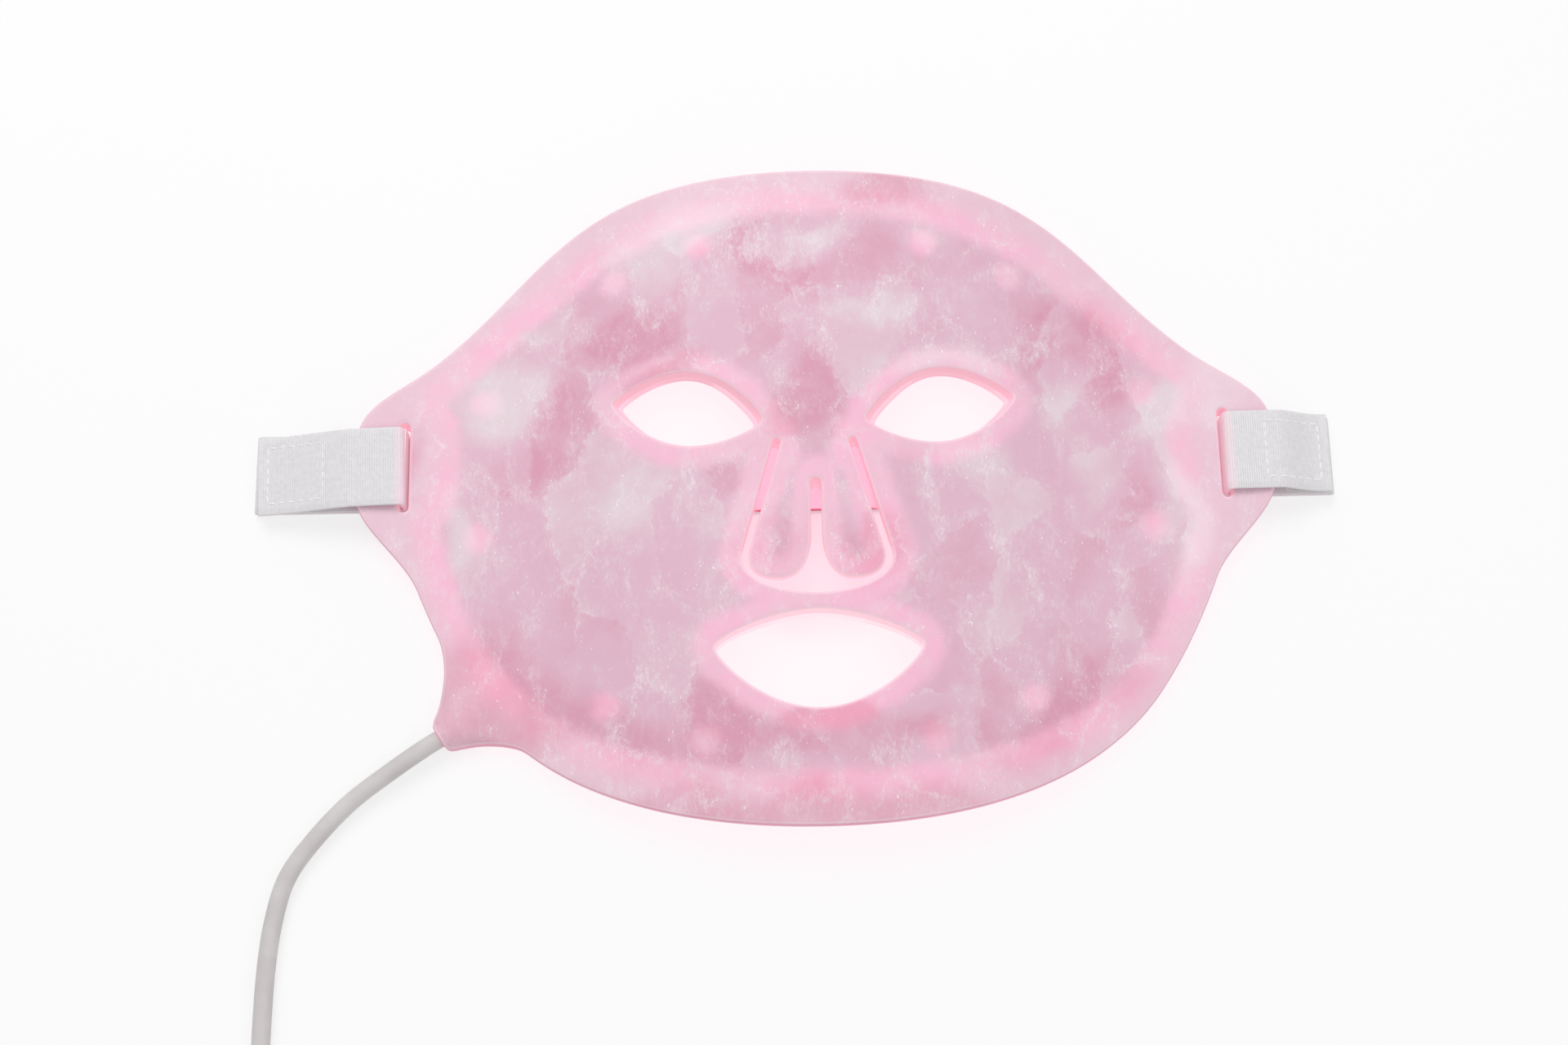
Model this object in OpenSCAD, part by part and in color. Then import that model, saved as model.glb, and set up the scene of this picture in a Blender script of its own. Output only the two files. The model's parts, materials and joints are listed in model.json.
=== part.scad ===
// Flexible light-therapy face mask: two bonded silicone sheets with a flexible
// lamp board between them, a webbing head strap and a low-voltage lead.
// It lies face up on the floor, forehead towards +Y, wearer's side down.

/* [Sheet] */
// Width over the two strap tabs
mask_w = 286; // [278:1:296]
// Height from the forehead edge to the chin edge
mask_h = 207; // [201:1:214]
// Thickness of the sheet on the wearer's side
rear_t = 2; // [1.8:0.1:2.6]
// Thickness of the front sheet
front_t = 2.95; // [2.6:0.05:3.6]
// Glue line between two bonded layers
bond = 0.05; // [0.03:0.01:0.08]

/* [Outline] */
// How far the forehead edge runs level before it falls away
crown_level = 79; // [70:1:86]
// Temple, where the edge turns out towards the tab, inwards from the tab edge
temple_in = 26; // [22:1:31]
// Temple height above the centre
temple_y = 46; // [42:1:50]
// Upper end of the straight tab edge
tab_top = 18; // [16:1:22]
// Lower end of the straight tab edge
tab_bottom = 2; // [0:1:5]
// Cheek, where the edge leaves the tab, inwards from the tab edge
cheek_in = 20; // [17:1:24]
// Cheek height, below the centre
cheek_y = -29; // [-32:1:-26]
// Jaw corner, inwards from the tab edge
jaw_in = 39; // [35:1:43]
// Jaw corner height, below the centre
jaw_y = -64; // [-68:1:-60]
// How far the chin edge runs level before it rises
chin_level = 52; // [46:1:58]

/* [Arch] */
// Height of the nose line above the lowest line of the sheet
arch_rise = 12; // [10:0.5:14]
// Line on which each wing bends, from the centre
flex_x = 68; // [65:1:72]
// Lowest line of the sheet, inwards from the strap slot
valley_in = 28; // [25:1:31]
// Rise of the strap tab, mm per mm
tab_slope = 0.1; // [0.08:0.01:0.13]
// Width of the cut that lets a flap or wing move
hinge_gap = 0.2; // [0.15:0.05:0.4]

/* [Openings] */
// Eye length from corner to corner
eye_l = 46; // [42:1:49]
// Eye height above its corner line
eye_up = 12.5; // [11:0.5:13.5]
// Eye height below its corner line
eye_down = 11; // [9.5:0.5:12]
// Eye centre from the nose line
eye_x = 39.3; // [38.5:0.1:40.5]
// Eye centre above the mask centre
eye_y = 24.5; // [24:0.1:26]
// Upward slant of the eye's outer corner, degrees
eye_slant = 10; // [7:0.5:12]
// Mouth width
mouth_w = 62.6; // [56:0.2:68]
// Mouth corner height, below the centre
mouth_y = -49.7; // [-51:0.1:-48]
// Mouth height above its corners
mouth_up = 10.9; // [9:0.1:12]
// Mouth depth below its corners
mouth_down = 18.8; // [16:0.1:20]
// Bridge line on which the nose flap bends
bridge_y = 13.4; // [12.6:0.1:14]
// Half width of the nose flap at the bridge
bridge_x = 10.7; // [10:0.1:11.4]
// Half width of the nose flap near its foot
nose_x = 20.5; // [19.5:0.5:22]
// Height of that foot, below the centre
nose_y = -20; // [-21:0.5:-18]
// Lower edge of the nose flap, below the centre
flap_y = -29.3; // [-30:0.1:-28]
// Lower edge of the nose opening, below the centre
nostril_y = -33.5; // [-34.3:0.1:-33]
// Width of the slit beside the nose flap
slit_w = 2.2; // [1.8:0.1:2.6]
// Width of the slit up the middle of the nose flap
mid_slit_w = 3.3; // [2.8:0.1:3.8]
// Upper end of the middle slit
mid_slit_y = 1.9; // [0:0.1:3]

/* [Lamp board] */
// Thickness of the flexible board
board_t = 0.3; // [0.2:0.05:0.4]
// Distance that the board stays back from eyes, nose and mouth
board_back = 7; // [6.5:0.5:7.5]
// Board edge at the forehead, above the centre
board_top = 88.5; // [86:0.5:90]
// Board edge at the chin, below the centre
board_low = -87; // [-89:0.5:-85]
// Board corner above the tab, inwards from the tab edge
board_in = 28; // [27:1:30]
// Diameter of the bonding holes through the board
tie_hole_d = 9; // [7:0.5:10]
// Lamp package length
led_l = 2.8; // [2.4:0.1:3]
// Lamp package width
led_w = 2.6; // [2.2:0.1:2.8]
// Lamp package height
led_h = 0.7; // [0.5:0.05:0.8]
// Diameter of the lamp pocket in the wearer's-side sheet
pocket_d = 5.8; // [5.8:0.1:6.4]
// Lamp spacing along a row
led_pitch = 16; // [14:1:20]
// Spacing of the rows
row_pitch = 14; // [12:1:18]
// Series resistor length
res_l = 1.6; // [1.4:0.1:1.7]
// Series resistor width
res_w = 0.8; // [0.6:0.1:0.9]
// Series resistor height
res_h = 0.45; // [0.35:0.05:0.5]

/* [Strap] */
// Webbing width
strap_w = 25; // [23:0.5:26]
// Webbing thickness
strap_t = 1.3; // [1.1:0.1:1.4]
// Width of the band behind the middle of the mask, where it is pulled narrow
band_w = 21; // [19:0.5:22]
// How far the middle of the band hangs below the slots
band_sag = 3.9; // [3:0.1:5]
// Gap between two layers that lie on each other
ply_gap = 0.3; // [0.25:0.05:0.4]
// Gap under a strap end where it turns on its loop
peel_gap = 0.4; // [0.3:0.05:0.5]
// Slot centre from the tab edge
slot_inset = 15; // [14:0.5:16]
// Slot centre above the mask centre
slot_y = 10.5; // [10:0.1:11]
// Slot length
slot_l = 28.5; // [28:0.1:30]
// Slot width
slot_w = 3; // [3:0.1:3.4]
// Length of the left strap end, from the slot
left_flap_l = 46; // [42:1:50]
// Length of the right strap end, from the slot
right_flap_l = 33; // [31:1:38]
// Turn of the left strap end in plan, degrees
left_turn = 2; // [0:0.5:3]
// Turn of the right strap end in plan, degrees
right_turn = 0; // [-2:0.5:2]
// Thickness of the hook tape and of the loop tape
tape_t = 0.9; // [0.7:0.1:1]
// Amount that each tape is narrower than the webbing
tape_margin = 3; // [2:0.5:5]

/* [Lead] */
// Lead diameter
cord_d = 5.5; // [5:0.1:5.7]
// Diameter of the moulded boss that holds the lead
boss_d = 9.4; // [9.2:0.1:10.4]
// Depth of the lead inside the boss
entry_l = 14; // [12:1:15]
// Diameter of one insulated core
core_d = 1.2; // [1:0.1:1.3]
// Smallest winding radius of the put-away coil
coil_r = 24; // [23.5:0.5:25]
// Spacing of neighbouring turns and layers
coil_pitch = 6.2; // [6.2:0.1:6.5]
// Turns in each of the two layers
coil_turns = 2.375; // [1.375:1:3.375]
// Thickness of the tie around the coil
tie_t = 1; // [0.8:0.1:1.2]
// Width of the tie
tie_w = 9; // [7:1:12]

/* [Plug] */
// Overmould length
plug_l = 24; // [22:1:28]
// Overmould width
plug_w = 15.6; // [15:0.2:17]
// Overmould height
plug_h = 8; // [7.6:0.2:9]
// Metal shell length outside the overmould
shell_l = 12; // [11:0.5:13]
// Metal shell width
shell_w = 12; // [11.8:0.1:12.2]
// Metal shell height
shell_h = 4.5; // [4.4:0.1:4.6]
// Sheet thickness of the metal shell
shell_wall = 0.3; // [0.25:0.05:0.4]

/* [Hidden] */
$fn = 64;

skin_front = "#d77fa2";
skin_rear = "#e9a9c1";
board_colour = "#a0826f";
webbing = "#e9e6e7";
lead_grey = "#b9b5b6";

sheet_t = rear_t + bond + front_t;
board_h = rear_t + bond;
roof_h = board_h + board_t + bond;
tab_x = mask_w / 2;
slot_x = tab_x - slot_inset;
valley_x = slot_x - valley_in;
board_x = tab_x - board_in;
valley_z = strap_t + ply_gap;
tab_curve_r = 150;
side_clear = 0.25;
join_gap = 0.1;
far = 400;

// Small helpers for plane curves
function polar(length, angle) = length * [cos(angle), sin(angle)];
function cubic(a, b, c, d, n = 10) = [for (i = [0:n - 1])
    let (t = i / n, u = 1 - t) u * u * u * a + 3 * u * u * t * b + 3 * u * t * t * c + t * t * t * d];
function flipped(points) = [for (i = [len(points) - 1:-1:0]) [-points[i][0], points[i][1]]];
function backwards(points) = [for (i = [len(points) - 1:-1:0]) points[i]];
function both_sides(half) = concat(half, [for (p = flipped(half)) if (p[0] < -0.001) p]);
function normal_at(points, i) = let (n = len(points), a = points[(i + n - 1) % n], b = points[(i + 1) % n],
    d = b - a) [d[1], -d[0]] / norm(d);
function grown(points, by) = [for (i = [0:len(points) - 1]) points[i] + by * normal_at(points, i)];
function inside(p, points) = len([for (i = [0:len(points) - 1])
    let (a = points[i], b = points[(i + 1) % len(points)])
    if ((a[1] > p[1]) != (b[1] > p[1])
        && p[0] < a[0] + (p[1] - a[1]) * (b[0] - a[0]) / (b[1] - a[1])) 1]) % 2 == 1;

// Height and slope of the wearer's-side face: arch, valley, then the rising tab
flex_slope = 2 * arch_rise / valley_x;
arch_r = flex_x / flex_slope;
dip_r = (valley_x - flex_x) / flex_slope;
tab_line_x = valley_x + tab_slope * tab_curve_r;
function rise(x) = valley_z + (x < flex_x ? arch_rise - x * x / (2 * arch_r)
    : x < valley_x ? (valley_x - x) * (valley_x - x) / (2 * dip_r)
    : x < tab_line_x ? (x - valley_x) * (x - valley_x) / (2 * tab_curve_r)
    : tab_slope * tab_slope * tab_curve_r / 2 + (x - tab_line_x) * tab_slope);
function grade(x) = x < flex_x ? -x / arch_r
    : x < valley_x ? (x - valley_x) / dip_r
    : min(tab_slope, (x - valley_x) / tab_curve_r);
function lift(x) = rise(abs(x));
function slope(x) = sign(x) * grade(abs(x));

// Section of the sheet at a height above its wearer's-side face
section_step = 5;
section_end = 160;
function section(h) = [for (x = [-section_end:section_step:section_end])
    let (s = slope(x)) [x, lift(x)] + h * [-s, 1] / sqrt(1 + s * s)];

module along_y() rotate([90, 0, 0]) linear_extrude(far, center = true) children();
module layer(h0, h1) along_y() polygon(concat(section(h0), backwards(section(h1))));
module above(h) along_y() polygon(concat(section(h), [[section_end, 60], [-section_end, 60]]));
module below(h) along_y() polygon(concat(section(h), [[section_end, -9], [-section_end, -9]]));
module prism(points) translate([0, 0, -20]) linear_extrude(80) polygon(points);
module on_sheet(p, h) translate([p[0], p[1], lift(p[0])]) rotate([0, -atan(slope(p[0])), 0])
    translate([0, 0, h]) children();

// Plan outline, right half from chin to crown
jaw = [tab_x - jaw_in, jaw_y];
cheek = [tab_x - cheek_in, cheek_y];
temple = [tab_x - temple_in, temple_y];
mask_half = concat(
    cubic([0, -mask_h / 2], [chin_level, -mask_h / 2], jaw - polar(29, 54), jaw, 14),
    cubic(jaw, jaw + polar(13, 54), cheek - polar(13, 68), cheek, 8),
    cubic(cheek, cheek + polar(11.5, 68), [tab_x, tab_bottom - 10.5], [tab_x, tab_bottom]),
    cubic([tab_x, tab_top], [tab_x, tab_top + 13.5], temple - polar(17, 138), temple),
    cubic(temple, temple + polar(48, 138), [crown_level, mask_h / 2], [0, mask_h / 2], 16),
    [[0, mask_h / 2]]);
mask_edge = both_sides(mask_half);

// Neck that carries the lead out of the left jaw: its own axis runs outwards
boss_end = [-jaw[0] - 11.3, jaw_y - 10.1];
boss_angle = 211.4;
boss_z = lift(boss_end[0]) + sheet_t / 2;
upper_neck = cubic([0, boss_d / 2 + 0.2], [-6.6, boss_d / 2 + 2.3], [-16.6, boss_d / 2 + 5.8], [-22, 21]);
lower_neck = cubic([0, -boss_d / 2 - 0.2], [-8, -boss_d / 2 - 5.5], [-14.5, -18.5], [-15.6, -30]);
neck_flare = concat([[-34, 15], [-22, 21]], backwards(upper_neck), lower_neck, [[-15.6, -30], [-34, -30]]);
module at_boss() translate([boss_end[0], boss_end[1], boss_z]) rotate([0, 0, boss_angle]) children();
module lying_rod(d, from, to) translate([from, 0, 0]) rotate([0, 90, 0]) cylinder(d = d, h = to - from);

// Eye, mouth and nose outlines
eye_tip = 1.5;
eye_flat = 12;
eye_local = concat(
    cubic([eye_l / 2, 0], [eye_l / 2, eye_tip], [eye_flat, eye_up], [0, eye_up], 8),
    cubic([0, eye_up], [-eye_flat, eye_up], [-eye_l / 2, eye_tip], [-eye_l / 2, 0], 8),
    cubic([-eye_l / 2, 0], [-eye_l / 2, -eye_tip], [-eye_flat, -eye_down], [0, -eye_down], 8),
    cubic([0, -eye_down], [eye_flat, -eye_down], [eye_l / 2, -eye_tip], [eye_l / 2, 0], 8));
right_eye = [for (p = eye_local) [eye_x, eye_y]
    + [p[0] * cos(eye_slant) - p[1] * sin(eye_slant), p[0] * sin(eye_slant) + p[1] * cos(eye_slant)]];
left_eye = flipped(right_eye);
lip_tip = 3;
lower_lip_x = 17;
upper_lip_x = 14;
mouth_half = concat(
    cubic([0, mouth_y - mouth_down], [lower_lip_x, mouth_y - mouth_down],
        [mouth_w / 2, mouth_y - lip_tip], [mouth_w / 2, mouth_y]),
    cubic([mouth_w / 2, mouth_y], [mouth_w / 2, mouth_y + lip_tip],
        [upper_lip_x, mouth_y + mouth_up], [0, mouth_y + mouth_up]),
    [[0, mouth_y + mouth_up]]);
mouth = both_sides(mouth_half);

// The nose flap hangs from the bridge between two side slits, and the nose hole surrounds it
flap_side = [nose_x - bridge_x, nose_y - bridge_y] / norm([nose_x - bridge_x, nose_y - bridge_y]);
slit_step = slit_w * [-flap_side[1], flap_side[0]];
hole_top = [bridge_x, bridge_y] + slit_step;
hole_foot = [nose_x, nose_y] + slit_step;
hole_half = concat(
    cubic([0, nostril_y], [14, nostril_y], hole_foot + [2.9, -8.5], hole_foot, 8),
    [hole_foot, hole_top, hole_top + [-0.5, 1.1], hole_top + [-1.5, 1.1], [bridge_x, bridge_y]]);
nose_hole = both_sides(hole_half);
flap_half = concat(
    [[mid_slit_w / 2, mid_slit_y - mid_slit_w / 2]],
    cubic([mid_slit_w / 2, -16], [mid_slit_w / 2 + 0.4, -23], [5, flap_y], [11.5, flap_y], 6),
    cubic([11.5, flap_y], [17, flap_y], [nose_x + 1.8, nose_y - 6.5], [nose_x, nose_y], 6),
    [[nose_x, nose_y], [bridge_x, bridge_y - hinge_gap]]);
slit_tip = [for (a = [180:-30:0]) [0, mid_slit_y - mid_slit_w / 2] + polar(mid_slit_w / 2, a)];
nose_flap = concat(flap_half, flipped(flap_half), [for (i = [1:len(slit_tip) - 2]) slit_tip[i]]);

// Strap slots
module slot_cut(side) translate([side * slot_x, slot_y, -20])
    linear_extrude(80) union() {
        square([slot_w, slot_l - slot_w], center = true);
        for (s = [-1, 1]) translate([0, s * (slot_l - slot_w) / 2]) circle(d = slot_w);
    }

// Lamp board outline, right half from chin to crown, and its bonding holes
board_corner = [board_x, 31];
board_foot = [board_x + 1, -9];
board_half = concat(
    cubic([0, board_low], [board_x - 23, board_low], [board_x - 7, -45], board_foot, 14),
    cubic(board_foot, [board_x - 7.5, 2], [board_x - 6.5, 22], board_corner, 8),
    cubic(board_corner, [board_x - 35, 62], [board_x - 55, board_top + 1.5], [0, board_top], 14),
    [[0, board_top]]);
board_edge = both_sides(board_half);
right_holes = [[35.4, 79.3], [62.5, 68.8], [board_x - 11.8, 31], [board_x - 10, -12.3],
    [64.5, -66.2], [34.3, -77.9]];
tie_holes = concat(right_holes, flipped(right_holes));
cut_backs = [for (edge = [right_eye, left_eye, mouth, nose_hole]) grown(edge, board_back)];
finger_top = [5.2, bridge_y];
finger_foot = [11.5, -18];
finger_w = 4.5;

// Board arm that runs to the lead, in the boss frame
arm_w = 12;
arm_end = -entry_l - 8;
module arm_2d(by) translate(boss_end) rotate(boss_angle)
    translate([arm_end - 26, -arm_w / 2 - by]) square([26 + by, arm_w + 2 * by]);

module board_2d(by) difference() {
    union() {
        polygon(grown(board_edge, by));
        arm_2d(by);
    }
    for (edge = cut_backs) polygon(grown(edge, -by));
    for (p = tie_holes) translate(p) circle(d = tie_hole_d - 2 * by);
}
bridge_half = 5.6;
module wedge_2d(by) difference() {
    polygon(grown([[-bridge_half, bridge_y], [bridge_half, bridge_y], [bridge_half + 3, 32],
        [-bridge_half - 3, 32]], by));
    for (edge = [right_eye, left_eye]) polygon(grown(edge, board_back - 3 - by));
}
module finger_2d(by) for (s = [-1, 1]) hull() {
    translate([s * finger_top[0], finger_top[1] - 4]) circle(d = finger_w - 1.5 + 2 * by, $fn = 24);
    translate([s * finger_foot[0], finger_foot[1]]) circle(d = finger_w + 2 * by, $fn = 24);
}

// Lamp sites: a staggered grid that keeps clear of every edge, hole and bend line
led_clear = pocket_d / 2 + 1;
function free_site(p) = inside(p, grown(board_edge, -led_clear))
    && len([for (edge = cut_backs) if (inside(p, grown(edge, led_clear))) 1]) == 0
    && len([for (h = tie_holes) if (norm(p - h) < tie_hole_d / 2 + led_clear) 1]) == 0
    && abs(abs(p[0]) - flex_x) > led_clear;
rows = floor(mask_h / row_pitch / 2);
columns = floor(mask_w / led_pitch / 2);
grid = [for (j = [-rows:rows], i = [-columns:columns])
    let (stagger = j % 2 == 0 ? 0 : 0.5, p = [(i + stagger) * led_pitch, j * row_pitch])
    if (free_site(p)) [p[0], p[1], abs(i + j) % 2]];
function in_zone(x, zone) = zone == 0 ? abs(x) < flex_x : x * zone > flex_x;
function sites(zone, kind) = [for (g = grid) if (in_zone(g[0], zone) && g[2] == kind) g];
nose_sites = [for (s = [-1, 1], t = [0.36, 0.92])
    let (p = (1 - t) * finger_top + t * finger_foot) [s * p[0], p[1], 0]];

led_shift = -0.7;
res_shift = led_l / 2 + led_shift + 0.8 + res_w / 2;
module lamp(p) on_sheet(p, board_h - bond / 2 - led_h) translate([led_shift - led_l / 2, -led_w / 2, 0])
    cube([led_l, led_w, led_h]);
module resistor(p) on_sheet(p, board_h - bond / 2 - res_h) translate([res_shift - res_w / 2, -res_l / 2, 0])
    cube([res_w, res_l, res_h]);
module pocket(p) on_sheet(p, rear_t - led_h - 0.2) cylinder(d = pocket_d, h = led_h + 1, $fn = 32);

// The sheet has three zones: the middle, and a wing on each side of a bend line
module zone_box(zone) {
    inner = flex_x + hinge_gap / 2;
    if (zone == 0) translate([-flex_x + hinge_gap / 2, -far / 2, -20])
        cube([2 * flex_x - hinge_gap, far, 90]);
    if (zone != 0) translate([zone > 0 ? inner : -inner - far, -far / 2, -20])
        cube([far, far, 90]);
}
module sheet_cuts(zone) {
    if (zone == 0) for (edge = [right_eye, left_eye, mouth, nose_hole]) prism(edge);
    if (zone != 0) slot_cut(zone);
}
module sheet_plan(zone) intersection() {
    union() {
        prism(mask_edge);
        if (zone < 0) translate([boss_end[0], boss_end[1], 0]) rotate([0, 0, boss_angle])
            prism(neck_flare);
    }
    zone_box(zone);
}
boss_l = 21;
collar_d = 7.2;
collar_l = 3;
collar_in = entry_l - 3;
board_dz = rear_t + bond + board_t + 0.4 - sheet_t / 2;
module boss_body() at_boss() union() {
    lying_rod(boss_d, -boss_l, 0);
    translate([-boss_l - 16, 0, 0]) rotate([0, 90, 0]) cylinder(d1 = sheet_t - 0.6, d2 = boss_d, h = 16);
}
core_pitch = core_d + 0.25;
core_z = core_d / 2 + bond;
pad_l = 3;
pad_end = arm_end - 8;
module boss_bore() {
    at_boss() lying_rod(cord_d + 0.2, -entry_l, 1);
    at_boss() lying_rod(collar_d + 0.2, -collar_in - 0.1, -collar_in + collar_l + 0.1);
}
module core_room() at_boss() translate([pad_end - pad_l - 0.6, -arm_w / 2 + 1, board_dz])
    cube([-entry_l - pad_end + pad_l + 0.7, arm_w - 2, core_d + 0.6]);

module front_sheet(zone) color(skin_front) difference() {
    union() {
        intersection() {
            layer(board_h, sheet_t);
            sheet_plan(zone);
        }
        if (zone < 0) intersection() {
            boss_body();
            above(board_h);
        }
    }
    intersection() {
        layer(board_h - 0.5, roof_h);
        translate([0, 0, -20]) linear_extrude(80) union() {
            board_2d(side_clear);
            if (zone == 0) wedge_2d(side_clear);
        }
    }
    sheet_cuts(zone);
    if (zone < 0) boss_bore();
    if (zone < 0) core_room();
}

module rear_sheet(zone) color(skin_rear) difference() {
    union() {
        intersection() {
            layer(0, rear_t);
            sheet_plan(zone);
        }
        if (zone < 0) intersection() {
            boss_body();
            below(rear_t);
        }
    }
    sheet_cuts(zone);
    for (g = concat(sites(zone, 0), sites(zone, 1))) pocket(g);
    if (zone < 0) boss_bore();
}

module board(zone) color(board_colour) intersection() {
    layer(board_h, board_h + board_t);
    zone_box(zone);
    translate([0, 0, -20]) linear_extrude(80) union() {
        board_2d(0);
        if (zone == 0) wedge_2d(0);
    }
}

module lamps(zone, kind) color(kind == 0 ? "#f6efe0" : "#4a3a4a") for (g = sites(zone, kind)) lamp(g);
module resistor_set(zone) color("#2a2a2c") for (g = sites(zone, 0)) resistor(g);

// Nose flap, one piece of each layer below the bridge line
module flap_layer(h0, h1) intersection() {
    layer(h0, h1);
    prism(nose_flap);
}
module nose_front_skin() color(skin_front) difference() {
    flap_layer(board_h, sheet_t);
    intersection() {
        layer(board_h - 0.5, roof_h);
        translate([0, 0, -20]) linear_extrude(80) finger_2d(side_clear);
    }
}
module nose_rear_skin() color(skin_rear) difference() {
    flap_layer(0, rear_t);
    for (g = nose_sites) pocket(g);
}
module nose_flex_board() color(board_colour) intersection() {
    layer(board_h, board_h + board_t);
    prism(nose_flap);
    translate([0, 0, -20]) linear_extrude(80) finger_2d(0);
}
module nose_lamps() color("#f6efe0") for (g = nose_sites) lamp(g);

// Lead inside the boss
module cord_entry() color(lead_grey) at_boss() lying_rod(cord_d, -entry_l, -join_gap);
module cord_collar() color("#9c999b") at_boss() difference() {
    lying_rod(collar_d, -collar_in, -collar_in + collar_l);
    lying_rod(cord_d + 0.1, -entry_l, 0);
}
module core_rows() for (i = [0:3]) translate([0, (i - 1.5) * core_pitch, board_dz + core_z]) children();
module core_wires() color("#c9463d") at_boss() core_rows() lying_rod(core_d, pad_end, -entry_l - 0.02);
module solder_joints() color("#c8ccd0") at_boss() core_rows()
    translate([pad_end - pad_l, -core_d / 2, -core_z + bond]) cube([pad_l, core_d, core_d]);

// Tube through a list of rings
function ring_frame(path, i) = let (n = len(path), a = path[max(i - 1, 0)], b = path[min(i + 1, n - 1)],
    d = (b - a) / norm(b - a), side = cross(d, [0, 0, 1]) / norm(cross(d, [0, 0, 1])))
    [side, cross(side, d)];
module tube(path, d, sides) {
    n = len(path);
    points = [for (i = [0:n - 1]) let (f = ring_frame(path, i))
        each [for (k = [0:sides - 1]) let (a = 360 * k / sides)
            path[i] + d / 2 * (cos(a) * f[0] + sin(a) * f[1])]];
    quads = [for (i = [0:n - 2], k = [0:sides - 1]) let (m = (k + 1) % sides)
        [i * sides + k, i * sides + m, (i + 1) * sides + m, (i + 1) * sides + k]];
    walls = [for (q = quads) each [[q[0], q[1], q[2]], [q[0], q[2], q[3]]]];
    caps = [for (k = [1:sides - 2]) each [[0, k + 1, k],
        [(n - 1) * sides, (n - 1) * sides + k, (n - 1) * sides + k + 1]]];
    polyhedron(points, concat(walls, caps), convexity = 8);
}
function spline(p, steps) = concat([for (i = [1:len(p) - 3], k = [0:steps - 1])
    let (t = k / steps, a = p[i - 1], b = p[i], c = p[i + 1], e = p[i + 2])
    0.5 * (2 * b + (c - a) * t + (2 * a - 5 * b + 4 * c - e) * t * t
        + (3 * b - a - 3 * c + e) * t * t * t)],
    [p[len(p) - 2]]);

// Free stretch of the lead: from the boss down to the floor and along it to the coil
cord_r = cord_d / 2;
lead_z = cord_r + 0.05;
coil_z = tie_t + 0.3 + cord_r;
coil_out = coil_r + coil_pitch * coil_turns;
lead_x = boss_end[0] - 50.7;
coil_mid = [lead_x + coil_out, -214];
boss_point = [boss_end[0], boss_end[1], boss_z];
boss_way = [cos(boss_angle), sin(boss_angle), 0];
lead_route = [boss_point, boss_point + cord_d * boss_way,
    [lead_x + 37, -83, 4.4], [lead_x + 24, -92.5, 3.2], [lead_x + 13, -104, lead_z],
    [lead_x + 5.5, -115, lead_z], [lead_x + 2, -128, lead_z], [lead_x + 0.5, -142, lead_z],
    [lead_x, -158, lead_z], [lead_x, -172, lead_z],
    [lead_x, -186, coil_z], [lead_x, -192, coil_z]];
lead_path = spline(concat([boss_point - cord_d * boss_way], lead_route, [[lead_x, -198, coil_z]]), 5);
module cord_lead() color(lead_grey) tube(lead_path, cord_d, 12);

// Put-away coil: in along the lower layer, up a layer in the half turn where it reverses,
// out along the upper layer, then a short tail to the plug
half_turn = 0.5;
dip = 1.6;
all_turns = 2 * coil_turns + half_turn;
function coil_radius(t) = t < coil_turns ? coil_out - coil_pitch * t
    : t < coil_turns + half_turn ? coil_r - dip * sin(180 * (t - coil_turns) / half_turn)
    : coil_r + coil_pitch * (t - coil_turns - half_turn);
function climb(t) = let (u = min(1, max(0, (t - coil_turns) / half_turn))) u * u * (3 - 2 * u);
function coil_point(t) = let (r = coil_radius(t), a = 180 + 360 * t)
    [coil_mid[0] + r * cos(a), coil_mid[1] + r * sin(a), coil_z + coil_pitch * climb(t)];
rings_per_turn = 24;
coil_turns_path = [for (i = [0:round(all_turns * rings_per_turn)]) coil_point(i / rings_per_turn)];
plug_z = plug_h / 2;
tail_start = coil_point(all_turns);
plug_point = tail_start + [52, 0, plug_z - tail_start[2]];
tail_route = [tail_start + [12, 0, 0], tail_start + [26, 0, -1.6],
    tail_start + [38, 0, plug_z - tail_start[2] + 0.6], plug_point - [cord_d, 0, 0], plug_point];
lead_end = lead_route[len(lead_route) - 1];
coil_path = concat([lead_end - [0, join_gap, 0], lead_end - [0, cord_d, 0],
    lead_end - [0, 14, 0]], coil_turns_path, tail_route);
module cord_coil() color(lead_grey) tube(coil_path, cord_d, 6);
self_gap = min([for (i = [0:len(coil_path) - 1], j = [0:len(coil_path) - 1])
    if (j > i + 8) norm(coil_path[i] - coil_path[j])]) - cord_d;
function path_length(p) = sum_to([for (i = [0:len(p) - 2]) norm(p[i + 1] - p[i])], 0, 0);
function sum_to(list, i, total) = i == len(list) ? total : sum_to(list, i + 1, total + list[i]);
echo(coil_self_gap = self_gap, lead_length = path_length(lead_path), coil_length = path_length(coil_path));

// Tie around the bundle of turns, between the place where the lead comes in and the tail
tie_angle = 225;
bundle_in = coil_r - cord_r - 0.4;
bundle_out = coil_out + cord_r + 0.4;
bundle_h = coil_pitch + cord_d + 0.6;
module coil_tie() color("#d9d6d7") translate([coil_mid[0], coil_mid[1], 0]) rotate([0, 0, tie_angle])
    rotate([90, 0, 0]) linear_extrude(tie_w, center = true) difference() {
        translate([bundle_in - tie_t, 0])
            square([bundle_out - bundle_in + 2 * tie_t, bundle_h + 2 * tie_t]);
        translate([bundle_in, tie_t]) square([bundle_out - bundle_in, bundle_h]);
    }

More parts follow.
